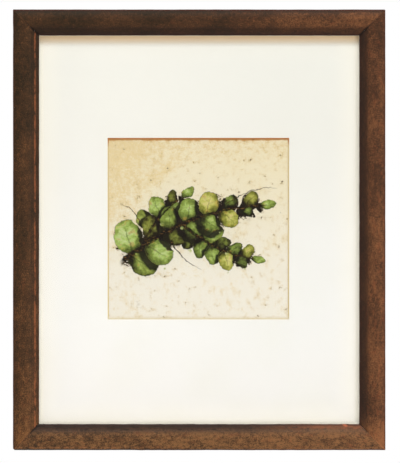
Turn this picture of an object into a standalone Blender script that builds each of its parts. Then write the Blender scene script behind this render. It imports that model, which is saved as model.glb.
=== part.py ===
# A print under glass, in a window mat and a mitred wooden frame that hangs on a nail.
#
# Sizes are in millimetres and become metres where a mesh is made. +X is to the viewer's right, +Z is up
# and +Y points at the wall, whose surface is y = 0. The origin is the point on the wall where the nail
# stands, level with the notch of the hanger that rests on it.

import math

import bmesh
import bpy
from mathutils import Matrix

MM = 0.001

# Outline of the frame
OUTER_WIDTH = 401.0
OUTER_HEIGHT = 474.5
NAIL_BELOW_TOP = 13.0
CENTRE_HEIGHT = NAIL_BELOW_TOP - OUTER_HEIGHT / 2

# Section of the moulding: widths run in from the outer edge, heights run forward from the back
FACE_WIDTH = 28.0
RAIL_DEPTH = 24.0
EDGE_ROUND = 1.5
CROWN_RADIUS = 27.0
CROWN_MIDDLE = 11.0
CROWN_WIDTH = 19.6
STEP_WIDTH = 20.0
STEP_DROP = 0.7
LIP_HEIGHT = 17.2
LIP_CHAMFER = 0.6
RABBET_WIDTH = 7.0
RABBET_DEPTH = 13.0
EDGE_STEPS = 4
CROWN_STEPS = 12
MITRE_GAP = 0.3

# The stack in the rabbet, from the glass in front to the backing board behind
GAP = 0.3
STACK_CLEARANCE = 1.0
THICKNESS = {"glass": 2.0, "mat_board": 1.5, "art_print": 0.4, "backing_board": 3.0}

# The mat's window, measured on its front face, and the print that it shows
WINDOW_SIDE = 196.0
WINDOW_SHIFT = -0.9
WINDOW_RAISE = 1.2
PRINT_SIDE = 214.0

# Framer's points: thin steel blades pressed into the rabbet's wall, two to a rail
POINT_WIDTH = 6.0
POINT_LENGTH = 15.0
POINT_THICKNESS = 0.5
POINT_BURIED = 6.0
POINT_TIP = 2.5
POINT_FROM_CORNER = 95.0

# Corner nails: steel angles sunk into the back across each mitre, two to a corner
CORNER_NAIL_LEG = 6.0
CORNER_NAIL_THICKNESS = 0.6
CORNER_NAIL_SUNK = 0.3
CORNER_NAIL_DEPTH = 10.0
CORNER_NAIL_INSETS = {"outer": 4.5, "inner": 12.5}

# Sawtooth hanger: a steel strip whose toothed middle stands off the wood, nailed at both ends
HANGER_LENGTH = 45.0
HANGER_HEIGHT = 8.0
HANGER_THICKNESS = 0.8
HANGER_RAISE = 1.6
HANGER_TAB = 5.5
HANGER_BEND = 1.5
END_ROUND = 3.0
END_STEPS = 4
TOOTH_PITCH = 2.5
TOOTH_DEPTH = 1.6
TEETH_EACH_SIDE = 5
NAIL_RADIUS = 0.7
NAIL_HOLE_RADIUS = 1.0
NAIL_HEAD_RADIUS = 1.8
NAIL_HEAD_THICKNESS = 0.6
NAIL_LENGTH = 9.0
NAIL_FROM_END = 2.6

# Wall bumpers: rubber buttons on the back of the bottom rail
BUMPER_HEIGHT = 4.0
BUMPER_RADIUS = 5.5
BUMPER_ROUND = 0.6
BUMPER_INSET = 14.0

ROUND_SEGMENTS = 24
SHARP_ANGLE = 25.0
MERGE_DISTANCE = 0.0001
RAIL_BACK = -BUMPER_HEIGHT

# Finish of each piece: colour from 0 to 255 in sRGB, roughness, metallic and alpha
FINISHES = {
    "bronze wood": ((98, 70, 48), 0.42, 0.0, 1.0),
    "picture glass": ((240, 248, 245), 0.03, 0.0, 0.15),
    "mat board": ((247, 244, 236), 0.95, 0.0, 1.0),
    "print paper": ((237, 225, 196), 0.9, 0.0, 1.0),
    "hardboard": ((150, 112, 74), 0.85, 0.0, 1.0),
    "zinc steel": ((170, 170, 165), 0.4, 1.0, 1.0),
    "bumper rubber": ((52, 50, 48), 0.8, 0.0, 1.0),
}


def clear_scene():
    for thing in list(bpy.data.objects):
        bpy.data.objects.remove(thing, do_unlink=True)


def material(name):
    """A Principled material with one of the finishes above."""
    srgb, roughness, metallic, alpha = FINISHES[name]
    linear = [((channel / 255 + 0.055) / 1.055) ** 2.4 for channel in srgb]
    made = bpy.data.materials.new(name)
    made.use_nodes = True
    shader = made.node_tree.nodes["Principled BSDF"]
    shader.inputs["Base Color"].default_value = (*linear, 1.0)
    shader.inputs["Roughness"].default_value = roughness
    shader.inputs["Metallic"].default_value = metallic
    shader.inputs["Alpha"].default_value = alpha
    made.diffuse_color = (*linear, alpha)
    return made


def finish(name, bm, paint, place=None, round_piece=False):
    """Turn a bmesh drawn in millimetres into a named object in metres."""
    bmesh.ops.remove_doubles(bm, verts=bm.verts, dist=MERGE_DISTANCE)
    bmesh.ops.recalc_face_normals(bm, faces=bm.faces)
    bmesh.ops.scale(bm, vec=(MM, MM, MM), verts=bm.verts)
    mesh = bpy.data.meshes.new(name)
    bm.to_mesh(mesh)
    bm.free()
    if paint:
        mesh.materials.append(paint)
    if round_piece:
        mesh.shade_smooth()
        mesh.set_sharp_from_angle(angle=math.radians(SHARP_ANGLE))
    thing = bpy.data.objects.new(name, mesh)
    if place:
        thing.matrix_world = place
    bpy.context.collection.objects.link(thing)
    return thing


def loft(sections, closed=False):
    """Join matching loops of points, each to the next, and close the two ends or the ring."""
    bm = bmesh.new()
    loops = [[bm.verts.new(point) for point in section] for section in sections]
    following = loops[1:] + loops[:1] if closed else loops[1:]
    for near, far in zip(loops, following):
        for i in range(len(near)):
            j = (i + 1) % len(near)
            bm.faces.new((near[i], near[j], far[j], far[i]))
    if not closed:
        bm.faces.new(loops[0])
        bm.faces.new(loops[-1])
    return bm


def box(size, middle):
    """A block of a given size around a middle point."""
    bm = bmesh.new()
    bmesh.ops.create_cube(bm, size=1.0)
    bmesh.ops.scale(bm, vec=size, verts=bm.verts)
    bmesh.ops.translate(bm, vec=middle, verts=bm.verts)
    return bm


def turned(section):
    """Spin a section, given as (radius, y) points, around the Y axis."""
    bm = bmesh.new()
    verts = [bm.verts.new((radius, y, 0.0)) for radius, y in section]
    edges = [bm.edges.new(pair) for pair in zip(verts, verts[1:])]
    bmesh.ops.spin(bm, geom=verts + edges, axis=(0, 1, 0), cent=(0, 0, 0), angle=2 * math.pi,
                   steps=ROUND_SEGMENTS, use_merge=True)
    return bm


def cut(target, cutter):
    """Take the cutter's shape out of the target and keep the cutter as a hidden guide."""
    cutter.hide_render = True
    cutter.display_type = "WIRE"
    boolean = target.modifiers.new(f"cut {cutter.name}", "BOOLEAN")
    boolean.operation = "DIFFERENCE"
    boolean.object = cutter


def crown_height(width):
    """Height of the rounded face at a distance in from the outer edge."""
    away = width - CROWN_MIDDLE
    return RAIL_DEPTH - CROWN_RADIUS + math.sqrt(CROWN_RADIUS ** 2 - away ** 2)


def rail_section():
    """The moulding's section as (width, height) points, around from the back's outer corner."""
    points = [(0.0, 0.0)]
    for step in range(EDGE_STEPS + 1):
        angle = math.pi / 2 * step / EDGE_STEPS
        points.append((EDGE_ROUND * (1 - math.cos(angle)),
                       crown_height(EDGE_ROUND) - EDGE_ROUND * (1 - math.sin(angle))))
    for step in range(1, CROWN_STEPS + 1):
        width = EDGE_ROUND + (CROWN_WIDTH - EDGE_ROUND) * step / CROWN_STEPS
        points.append((width, crown_height(width)))
    points.append((STEP_WIDTH, crown_height(CROWN_WIDTH) - STEP_DROP))
    points.append((FACE_WIDTH - LIP_CHAMFER, LIP_HEIGHT))
    points.append((FACE_WIDTH, LIP_HEIGHT - LIP_CHAMFER))
    points.append((FACE_WIDTH, RABBET_DEPTH))
    points.append((FACE_WIDTH - RABBET_WIDTH, RABBET_DEPTH))
    points.append((FACE_WIDTH - RABBET_WIDTH, 0.0))
    return points


def rail_place(turn):
    """A rail is drawn as the top one, about the frame's middle, then turned about the Y axis."""
    move = Matrix.Translation((0.0, RAIL_BACK * MM, CENTRE_HEIGHT * MM))
    return move @ Matrix.Rotation(math.radians(turn), 4, "Y")


def front_of(piece):
    """Height of the front face of one of the sheets in the stack."""
    front = RABBET_DEPTH - GAP
    for name, thickness in THICKNESS.items():
        if name == piece:
            return front
        front -= thickness + GAP
    raise ValueError(f"no sheet is called {piece}")


def point_blade(inner_edge, back, spare=0.0):
    """A framer's point: a strip with a pointed end buried in the wood beyond inner_edge.

    back is the height of its rear face. With some spare all around it is the slot in the wood.
    """
    half = POINT_WIDTH / 2 + spare
    tip = inner_edge + POINT_BURIED + spare
    tail = inner_edge + POINT_BURIED - POINT_LENGTH
    shoulder = tip - POINT_TIP
    outline = [(-half, tail), (half, tail), (half, shoulder), (half - POINT_TIP, tip),
               (POINT_TIP - half, tip), (-half, shoulder)]
    return loft([[(x, -height, z) for x, z in outline]
                 for height in (back + POINT_THICKNESS + spare, back - spare)])


def make_rail(name, turn, run, half_span, end_names, wood, steel):
    """A mitred rail, with the two framer's points that are pressed into its rabbet."""
    mitre = MITRE_GAP / 2 * math.sqrt(2)
    ends = [[(side * (run / 2 - width - mitre), -height, half_span - width)
             for width, height in rail_section()] for side in (-1, 1)]
    place = rail_place(turn)
    rail = finish(name, loft(ends), wood, place, round_piece=True)
    wall = half_span - FACE_WIDTH + RABBET_WIDTH
    behind = front_of("backing_board") - THICKNESS["backing_board"] - GAP - POINT_THICKNESS
    for side, end_name in zip((-1, 1), end_names):
        shift = Matrix.Translation((side * (run / 2 - POINT_FROM_CORNER) * MM, 0.0, 0.0))
        label = f"{name.removeprefix('rail_')}_{end_name}"
        finish(f"point_{label}", point_blade(wall, behind), steel, place @ shift)
        cut(rail, finish(f"slot_{label}", point_blade(wall, behind, GAP), None, place @ shift))
    return rail


def corner_nail(inset, low, high, spare=0.0):
    """A right angle of sheet steel whose bend is on the mitre, inset from both outer edges.

    It is drawn with the frame's corner at the origin and its outside pointing up.
    """
    leg = CORNER_NAIL_LEG + 2 * spare
    thickness = CORNER_NAIL_THICKNESS + 2 * spare
    bend = (spare - inset) * math.sqrt(2)
    end = leg / math.sqrt(2)
    across = thickness / math.sqrt(2)
    outline = [(0.0, bend), (end, bend - end), (end - across, bend - end - across),
               (0.0, bend - 2 * across), (across - end, bend - end - across), (-end, bend - end)]
    return loft([[(x, -height, z) for x, z in outline] for height in (high, low)])


def make_corner_nails(name, turn, rails, steel):
    """The two nails of one corner, each in a slot that runs from one rail into the other."""
    across = math.copysign(OUTER_WIDTH / 2, math.sin(math.radians(turn)))
    up = math.copysign(OUTER_HEIGHT / 2, math.cos(math.radians(turn)))
    corner = Matrix.Translation((across * MM, RAIL_BACK * MM, (CENTRE_HEIGHT + up) * MM))
    place = corner @ Matrix.Rotation(math.radians(turn), 4, "Y")
    for label, inset in CORNER_NAIL_INSETS.items():
        nail = corner_nail(inset, CORNER_NAIL_SUNK, CORNER_NAIL_DEPTH)
        finish(f"corner_nail_{name}_{label}", nail, steel, place)
        slot = corner_nail(inset, -GAP, CORNER_NAIL_DEPTH + GAP, GAP)
        cutter = finish(f"corner_slot_{name}_{label}", slot, None, place)
        for rail in rails:
            cut(rail, cutter)


def make_sheet(name, width, height, paint, shift=0.0, raise_by=0.0):
    """One of the flat sheets in the stack."""
    middle = (shift, RAIL_BACK - front_of(name) + THICKNESS[name] / 2, CENTRE_HEIGHT + raise_by)
    return finish(name, box((width, THICKNESS[name], height), middle), paint)


def make_mat(width, height, paint):
    """A board with a square window, its edge cut at 45 degrees so that it opens to the front."""
    thickness = THICKNESS["mat_board"]
    front = RAIL_BACK - front_of("mat_board")
    back = front + thickness
    window = WINDOW_SIDE / 2
    window_behind = window - thickness
    corners = ((-1, -1), (1, -1), (1, 1), (-1, 1))

    def rectangle(half_width, half_height, y, shift, raise_by):
        middle = CENTRE_HEIGHT + raise_by
        return [(shift + x * half_width, y, middle + z * half_height) for x, z in corners]

    loops = [rectangle(width / 2, height / 2, front, 0.0, 0.0),
             rectangle(window, window, front, WINDOW_SHIFT, WINDOW_RAISE),
             rectangle(window_behind, window_behind, back, WINDOW_SHIFT, WINDOW_RAISE),
             rectangle(width / 2, height / 2, back, 0.0, 0.0)]
    return finish("mat_board", loft(loops, closed=True), paint)


def hanger_stations():
    """Where the strip is cut across: (x, standing off the wood, top, bottom)."""
    half = HANGER_LENGTH / 2
    low = -TOOTH_DEPTH
    high = low + HANGER_HEIGHT
    middle = (low + high) / 2
    stations = []
    for step in range(END_STEPS):
        angle = math.pi / 2 * step / END_STEPS
        reach = HANGER_HEIGHT / 2 - END_ROUND + END_ROUND * math.sin(angle)
        stations.append((half - END_ROUND + END_ROUND * math.cos(angle), 0.0, middle + reach,
                         middle - reach))
    stations.append((half - HANGER_TAB, 0.0, high, low))
    stations.append((half - HANGER_TAB - HANGER_BEND, HANGER_RAISE, high, low))
    for step in range(2 * TEETH_EACH_SIDE, 0, -1):
        bottom = 0.0 if step % 2 == 0 else low
        stations.append((step * TOOTH_PITCH / 2, HANGER_RAISE, high, bottom))
    mirrored = [(-x, off, top, bottom) for x, off, top, bottom in reversed(stations)]
    return stations + [(0.0, HANGER_RAISE, high, 0.0)] + mirrored


def make_hanger(steel):
    """The strip, standing off the wood between its nailed ends, with its middle notch at z = 0."""
    sections = []
    for x, off, top, bottom in hanger_stations():
        near = RAIL_BACK + GAP + off
        far = near + HANGER_THICKNESS
        sections.append([(x, near, bottom), (x, far, bottom), (x, far, top), (x, near, top)])
    return finish("sawtooth_hanger", loft(sections), steel)


def make_hanger_nails(rail, hanger, steel):
    """Two nails through the hanger's ends into the top rail, each in a hole a little wider than it."""
    tab_outside = RAIL_BACK + GAP + HANGER_THICKNESS
    head_under = tab_outside + GAP
    head_top = head_under + NAIL_HEAD_THICKNESS
    tip = head_under - NAIL_LENGTH
    chamfer = NAIL_HEAD_THICKNESS / 2
    nail = [(0.0, head_top), (NAIL_HEAD_RADIUS - chamfer, head_top),
            (NAIL_HEAD_RADIUS, head_top - chamfer), (NAIL_HEAD_RADIUS, head_under),
            (NAIL_RADIUS, head_under), (NAIL_RADIUS, tip + 2 * NAIL_RADIUS), (0.0, tip)]
    bottom = tip - GAP
    hole = [(0.0, head_under), (NAIL_HOLE_RADIUS, head_under), (NAIL_HOLE_RADIUS, bottom), (0.0, bottom)]
    reach = HANGER_LENGTH / 2 - NAIL_FROM_END
    height = HANGER_HEIGHT / 2 - TOOTH_DEPTH
    for side, x in (("left", -reach), ("right", reach)):
        place = Matrix.Translation((x * MM, 0.0, height * MM))
        finish(f"hanger_nail_{side}", turned(nail), steel, place, round_piece=True)
        drill = finish(f"nail_hole_{side}", turned(hole), None, place)
        cut(rail, drill)
        cut(hanger, drill)


def make_bumpers(rubber):
    """Rubber buttons that keep the bottom of the frame off the wall and level with the hanger."""
    base = RAIL_BACK + GAP
    section = [(0.0, base), (BUMPER_RADIUS, base)]
    for step in range(EDGE_STEPS + 1):
        angle = math.pi / 2 * step / EDGE_STEPS
        section.append((BUMPER_RADIUS - BUMPER_ROUND * (1 - math.cos(angle)),
                        BUMPER_ROUND * (math.sin(angle) - 1)))
    section.append((0.0, 0.0))
    height = CENTRE_HEIGHT - OUTER_HEIGHT / 2 + BUMPER_INSET
    reach = OUTER_WIDTH / 2 - BUMPER_INSET
    for side, x in (("left", -reach), ("right", reach)):
        place = Matrix.Translation((x * MM, 0.0, height * MM))
        finish(f"bumper_{side}", turned(section), rubber, place, round_piece=True)


def build():
    clear_scene()
    wood = material("bronze wood")
    steel = material("zinc steel")
    top = make_rail("rail_top", 0, OUTER_WIDTH, OUTER_HEIGHT / 2, ("left", "right"), wood, steel)
    right = make_rail("rail_right", 90, OUTER_HEIGHT, OUTER_WIDTH / 2, ("upper", "lower"), wood, steel)
    bottom = make_rail("rail_bottom", 180, OUTER_WIDTH, OUTER_HEIGHT / 2, ("right", "left"), wood, steel)
    left = make_rail("rail_left", 270, OUTER_HEIGHT, OUTER_WIDTH / 2, ("lower", "upper"), wood, steel)
    make_corner_nails("top_right", 45, (top, right), steel)
    make_corner_nails("bottom_right", 135, (bottom, right), steel)
    make_corner_nails("bottom_left", 225, (bottom, left), steel)
    make_corner_nails("top_left", 315, (top, left), steel)

    narrower = 2 * (FACE_WIDTH - RABBET_WIDTH + STACK_CLEARANCE)
    width = OUTER_WIDTH - narrower
    height = OUTER_HEIGHT - narrower
    make_sheet("glass", width, height, material("picture glass"))
    make_mat(width, height, material("mat board"))
    make_sheet("art_print", PRINT_SIDE, PRINT_SIDE, material("print paper"), WINDOW_SHIFT, WINDOW_RAISE)
    make_sheet("backing_board", width, height, material("hardboard"))

    hanger = make_hanger(steel)
    make_hanger_nails(top, hanger, steel)
    make_bumpers(material("bumper rubber"))


build()
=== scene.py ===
# %% [markdown]
# A framed print under glass
#
# The object is a small picture for a wall. Four lengths of rounded wooden moulding, finished in worn
# bronze, meet in mitred corners. A cream window mat and an old, stained sheet of paper with a painted
# leaf spray lie behind glass in their rabbet. The back shows what holds it all: a hardboard sheet,
# framer's points, corner nails, a sawtooth hanger and two rubber bumpers.
#
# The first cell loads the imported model. Each of its solids is now an object at the origin, in metres,
# with +X to the viewer's right, +Z up, and the wall at y = 0 behind it.

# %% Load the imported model
import math

import bmesh
import bpy
from mathutils import Matrix, Vector


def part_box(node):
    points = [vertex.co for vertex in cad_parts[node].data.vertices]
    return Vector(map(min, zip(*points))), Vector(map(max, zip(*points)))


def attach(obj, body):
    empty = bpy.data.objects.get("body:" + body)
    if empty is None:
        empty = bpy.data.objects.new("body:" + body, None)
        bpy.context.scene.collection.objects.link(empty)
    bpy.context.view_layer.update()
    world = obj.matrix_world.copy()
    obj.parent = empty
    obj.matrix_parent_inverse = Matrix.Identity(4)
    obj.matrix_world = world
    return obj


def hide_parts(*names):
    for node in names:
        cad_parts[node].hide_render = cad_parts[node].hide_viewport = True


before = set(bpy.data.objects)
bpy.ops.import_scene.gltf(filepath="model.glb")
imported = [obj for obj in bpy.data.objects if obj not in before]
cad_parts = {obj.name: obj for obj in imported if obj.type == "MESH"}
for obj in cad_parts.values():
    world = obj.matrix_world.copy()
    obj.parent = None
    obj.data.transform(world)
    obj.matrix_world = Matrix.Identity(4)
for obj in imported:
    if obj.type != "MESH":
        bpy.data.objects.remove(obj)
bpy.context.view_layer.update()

print("solids loaded:", len(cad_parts))

# %% [markdown]
# The main measures are those of the solids, in metres. A new piece has to lie where its solid lies, so
# everything below is placed from these few values. Widths on the moulding run in from the outer edge
# and heights run forward from its back.

# %% Main measures
MM = 0.001
OUTER_WIDTH = 401.0 * MM
OUTER_HEIGHT = 474.5 * MM
CENTRE_HEIGHT = 13.0 * MM - OUTER_HEIGHT / 2
RAIL_BACK = -4.0 * MM
FACE_WIDTH = 28.0 * MM
RAIL_DEPTH = 24.0 * MM
RABBET_WIDTH = 7.0 * MM
RABBET_DEPTH = 13.0 * MM
WINDOW_SIDE = 196.0 * MM
WINDOW_X = -0.9 * MM
WINDOW_Z = CENTRE_HEIGHT + 1.2 * MM

solid_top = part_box("rail_top")[1][2]
print("the top rail's solid ends at", round(solid_top, 4), "m, and the frame at",
      round(CENTRE_HEIGHT + OUTER_HEIGHT / 2, 4), "m")

# %% [markdown]
# The camera
#
# The photograph was taken straight from the front, with the lens level with the picture's middle. A
# camera four metres away with a long lens gives that flat view. The lens is worked out from the height
# that the photograph takes in at the shoulder of the moulding, where its outline lies. The camera stands
# a hair to the right of the middle and below it, because the picture isn't quite centred.

# %% Place the camera
PICTURE_WIDTH_PX = 400
PICTURE_HEIGHT_PX = 463
FRAME_WIDTH_PX = 372.5
FRAME_MIDDLE_PX = (199.2, 229.8)
CAMERA_DISTANCE = 4.0
SENSOR = 36.0
SHOULDER_HEIGHT = 22.0 * MM

metres_per_px = OUTER_WIDTH / FRAME_WIDTH_PX
right_of_middle = (PICTURE_WIDTH_PX / 2 - FRAME_MIDDLE_PX[0]) * metres_per_px
below_middle = (PICTURE_HEIGHT_PX / 2 - FRAME_MIDDLE_PX[1]) * metres_per_px
front_edge = RAIL_BACK - SHOULDER_HEIGHT

bpy.ops.object.select_all(action="DESELECT")
bpy.ops.object.camera_add(
    location=(right_of_middle, front_edge - CAMERA_DISTANCE, CENTRE_HEIGHT - below_middle),
    rotation=(math.radians(90), 0, 0))
camera = bpy.context.object
camera.name = "front_view"
camera.data.sensor_fit = "VERTICAL"
camera.data.sensor_height = SENSOR
camera.data.lens = SENSOR * CAMERA_DISTANCE / (PICTURE_HEIGHT_PX * metres_per_px)
bpy.context.scene.camera = camera
print("lens:", round(camera.data.lens, 1), "mm")

# %% [markdown]
# The light
#
# The shadow that the top rail throws on the mat is weak and warm, and has two edges, 8 and 11 mm below
# the rail. So two lights cast it, one above the other, both high and cool. They give only a third of
# all the light, and a tan painted shadow in the mat's colour deepens it. A third softbox on the right, a
# little low, gives the bronze its glow, which grows from the upper left corner to the lower right one,
# together with a painted sheen in the bronze's colour. All stand far off, to light the mat evenly. The
# rest is even, warm light from all around, but not from straight in front, where the glass would
# mirror it.

# %% Set up three softboxes
TARGET = Vector((0.0, front_edge, CENTRE_HEIGHT))
COOL = (0.90, 0.98, 1.08)
NEARLY_WHITE = (1.0, 0.98, 0.97)


def add_softbox(name, side, height, distance, size, watts, tint):
    """A square light that looks at the picture from some degrees to the side and above it."""
    turn = math.radians(side)
    lift = math.radians(height)
    away = Vector((math.sin(turn) * math.cos(lift), -math.cos(turn) * math.cos(lift), math.sin(lift)))
    bpy.ops.object.light_add(type="AREA", location=TARGET + away * distance)
    softbox = bpy.context.object
    softbox.name = name
    softbox.rotation_euler = away.to_track_quat("Z", "Y").to_euler()
    softbox.data.size = size
    softbox.data.energy = watts
    softbox.data.color = tint


add_softbox("upper_softbox", side=2, height=57.9, distance=12.0, size=0.5, watts=830.0, tint=COOL)
add_softbox("high_softbox", side=2, height=50.8, distance=12.0, size=0.5, watts=660.0, tint=COOL)
add_softbox("side_softbox", side=38, height=-20, distance=7.0, size=3.4, watts=160.0, tint=NEARLY_WHITE)

# %% [markdown]
# The even light around is the world's own shader. Its values are set here, and its nodes follow once
# there is a short way to write them.

# %% Set up the even light around
WARM_WHITE = (1.0, 0.955, 0.885)
PURE_WHITE = (1.0, 1.0, 1.0)
EVEN_LIGHT = 1.06
LIGHT_FROM_BELOW = 0.10
LIGHT_IN_FRONT = 0.12

world = bpy.data.worlds.new("white studio")
world.use_nodes = True
bpy.context.scene.world = world
bpy.context.scene.view_settings.view_transform = "Standard"

# %% [markdown]
# Shader maths
#
# A finish is worked out point by point, from where the point lies: how far from the outer edge, how
# strong the mottling is there. One could place every Math node by hand, but the sum is much easier to
# read as a sum. So a small class wraps a node's output, and Python's own signs add the nodes.


# %% A wire between nodes
def socket_called(sockets, key):
    """A socket by its number, its identifier or its name."""
    if isinstance(key, int):
        return sockets[key]
    for wanted in ("identifier", "name"):
        for socket in sockets:
            if getattr(socket, wanted) == key:
                return socket
    raise KeyError(key)


def feed(tree, socket, value):
    """Link a wire to a socket, or set the socket's own value."""
    if isinstance(value, Wire):
        tree.links.new(value.socket, socket)
    elif socket.type == "RGBA" and len(value) == 3:
        socket.default_value = (*value, 1.0)
    else:
        socket.default_value = value


class Wire:
    """A node's output, on which Python's arithmetic works."""

    def __init__(self, tree, socket=None):
        self.tree = tree
        self.socket = socket

    def node(self, kind, settings=None, inputs=None, output=0):
        """Add a node: its settings first, then what its sockets get. Gives one of its outputs."""
        made = self.tree.nodes.new(kind)
        for name, value in (settings or {}).items():
            if name == "stops":
                ramp = made.color_ramp
                while len(ramp.elements) < len(value):
                    ramp.elements.new(1.0)
                for element, (place, colour) in zip(ramp.elements, value):
                    element.position = place
                    element.color = (*colour, 1.0)
            else:
                setattr(made, name, value)
        for key, value in (inputs or {}).items():
            feed(self.tree, socket_called(made.inputs, key), value)
        return Wire(self.tree, socket_called(made.outputs, output))

    def maths(self, operation, *values, clamp=False):
        """A Math node on this wire and up to two more values."""
        inputs = dict(enumerate((self, *values)))
        return self.node("ShaderNodeMath", {"operation": operation, "use_clamp": clamp}, inputs)

    def joined(self, operation, left, right):
        """Numbers meet in a Math node, and vectors in a Vector Math node."""
        sides = (left, right)
        flat = all(side.socket.type == "VALUE" if isinstance(side, Wire) else not isinstance(side, tuple)
                   for side in sides)
        if flat:
            return self.node("ShaderNodeMath", {"operation": operation}, dict(enumerate(sides)))
        full = [side if isinstance(side, (Wire, tuple)) else (side,) * 3 for side in sides]
        return self.node("ShaderNodeVectorMath", {"operation": operation}, dict(enumerate(full)))

    def __add__(self, other):
        return self.joined("ADD", self, other)

    def __radd__(self, other):
        return self.joined("ADD", other, self)

    def __sub__(self, other):
        return self.joined("SUBTRACT", self, other)

    def __rsub__(self, other):
        return self.joined("SUBTRACT", other, self)

    def __mul__(self, other):
        return self.joined("MULTIPLY", self, other)

    def __rmul__(self, other):
        return self.joined("MULTIPLY", other, self)

    def __truediv__(self, other):
        return self.joined("DIVIDE", self, other)

    def __abs__(self):
        return self.maths("ABSOLUTE")

    def object_place(self):
        """Where a point lies on its object, in metres from the origin."""
        return self.node("ShaderNodeTexCoord", output="Object")

    def split(self):
        """The three numbers of a vector."""
        parts = self.node("ShaderNodeSeparateXYZ", None, {0: self})
        sockets = parts.socket.node.outputs
        return [Wire(self.tree, socket) for socket in sockets]

    def vector(self, across, up):
        """A vector of three numbers, with this one first."""
        return self.node("ShaderNodeCombineXYZ", None, {0: self, 1: across, 2: up})

    def between(self, low, high):
        """A colour between two others, as this mask goes from 0 to 1."""
        return self.node("ShaderNodeMix", {"data_type": "RGBA"},
                         {"Factor_Float": self, "A_Color": low, "B_Color": high}, "Result_Color")

    def step(self, low, high):
        """A smooth mask that goes from 0 where this is low to 1 where it is high."""
        return self.node("ShaderNodeMapRange", {"interpolation_type": "SMOOTHSTEP"},
                         {"Value": self, "From Min": low, "From Max": high})

    def noise(self, scale, detail=3.0, roughness=0.55, output="Fac"):
        """Cloudy noise at this place: its patches are about 1 / scale across."""
        return self.node("ShaderNodeTexNoise", None, {"Vector": self, "Scale": scale, "Detail": detail,
                                                      "Roughness": roughness}, output)

    def cells(self, scale, output="Distance"):
        """Scattered points at this place, and how far the nearest one is."""
        return self.node("ShaderNodeTexVoronoi", None, {"Vector": self, "Scale": scale}, output)

    def ramp(self, *stops):
        """This number as a colour, from a ramp of (place, colour) stops."""
        return self.node("ShaderNodeValToRGB", {"stops": stops}, {"Fac": self}, "Color")

    def bump(self, strength, distance):
        """A surface normal, from this number as a height."""
        return self.node("ShaderNodeBump", None, {"Strength": strength, "Distance": distance,
                                                  "Height": self}, "Normal")


print("wires are ready")

# %% [markdown]
# Colours are noted as a screen shows them, from 0 to 255, which is how any paint program gives them.
# Shaders count light instead, so a small function converts them. Two more functions begin a finish and
# feed its main shader.


# %% Colours and finishes
def srgb(red, green, blue):
    """A colour as a screen shows it, from 0 to 255, as the light that shaders work with."""
    return tuple(channel / 12.92 / 255 if channel < 10.3 else ((channel / 255 + 0.055) / 1.055) ** 2.4
                 for channel in (red, green, blue))


def new_finish(name):
    """A new material, and a wire to begin its nodes with."""
    made = bpy.data.materials.new(name)
    made.use_nodes = True
    return made, Wire(made.node_tree)


def set_surface(made, values):
    """Feed the sockets of a finish's Principled shader."""
    shader = made.node_tree.nodes["Principled BSDF"]
    for name, value in values.items():
        feed(made.node_tree, shader.inputs[name], value)


print("orange on a screen is", [round(part, 3) for part in srgb(255, 128, 0)], "as light")

# %% [markdown]
# With the wires at hand, the even light gets its nodes. What the camera sees behind the picture is the
# photograph's pure white. What lights the picture is weaker, and weakest straight in front.

# %% Light the surroundings
sky = Wire(world.node_tree)
direction = sky.node("ShaderNodeTexCoord", output="Generated")
_, backwards, upwards = direction.split()
towards_front = 0 - backwards
strength = EVEN_LIGHT - upwards * LIGHT_FROM_BELOW
strength = strength - towards_front.step(0.955, 0.99) * (strength - LIGHT_IN_FRONT)
seen = sky.node("ShaderNodeLightPath", output="Is Camera Ray")
background = world.node_tree.nodes["Background"]
feed(world.node_tree, background.inputs["Color"], seen.between(WARM_WHITE, PURE_WHITE))
feed(world.node_tree, background.inputs["Strength"], seen + strength * (1 - seen))
print("even light:", EVEN_LIGHT, "and in front:", LIGHT_IN_FRONT)

# %% [markdown]
# Modelling by hand, in code
#
# A person at the screen adds a primitive, goes into edit mode, selects some faces and works on them.
# The same operators are used here. Only the selecting differs: instead of a click, a small test on an
# element's place or normal says which ones are wanted.


# %% Helpers for editing
def choose(piece):
    """Select one piece and nothing else, and make it the active one."""
    bpy.ops.object.select_all(action="DESELECT")
    bpy.context.view_layer.objects.active = piece
    piece.select_set(True)


def settle():
    """Put the chosen piece's place, turn and size into its mesh."""
    bpy.ops.object.transform_apply(location=True, rotation=True, scale=True)


def add_piece(name, operator, **settings):
    """Add a primitive at its place, as an object whose own origin is the world's."""
    bpy.ops.object.select_all(action="DESELECT")
    operator(**settings)
    piece = bpy.context.object
    piece.name = name
    piece.data.name = name
    settle()
    return piece


def edit(piece):
    """Go into edit mode on one piece."""
    choose(piece)
    bpy.ops.object.mode_set(mode="EDIT")


def leave():
    """Leave edit mode."""
    bpy.ops.object.mode_set(mode="OBJECT")


def pick(piece, kind, test):
    """In edit mode, select the verts, edges or faces that pass a test, and nothing else."""
    bpy.ops.mesh.select_mode(type={"verts": "VERT", "edges": "EDGE", "faces": "FACE"}[kind])
    bpy.ops.mesh.select_all(action="DESELECT")
    shape = bmesh.from_edit_mesh(piece.data)
    chosen = [element for element in getattr(shape, kind) if test(element)]
    for element in chosen:
        element.select_set(True)
    shape.select_flush_mode()
    bmesh.update_edit_mesh(piece.data)
    return len(chosen)


def middle(element):
    """The middle of an edge or a face."""
    return sum((vert.co for vert in element.verts), Vector()) / len(element.verts)


def close_to(value, wanted, spare=0.00002):
    """Whether a measure is the one that is wanted, give or take a fiftieth of a millimetre."""
    return abs(value - wanted) < spare


def take_all():
    """In edit mode, select the whole mesh."""
    bpy.ops.mesh.select_all(action="SELECT")


def push(value):
    """Extrude the selection and move what is new."""
    bpy.ops.mesh.extrude_region_move(TRANSFORM_OT_translate={"value": value})


def turn_outwards():
    """Merge doubles, then make every face point out of the piece."""
    bpy.ops.mesh.select_mode(type="VERT")
    take_all()
    bpy.ops.mesh.remove_doubles(threshold=0.000001)
    bpy.ops.mesh.normals_make_consistent(inside=False)


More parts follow.
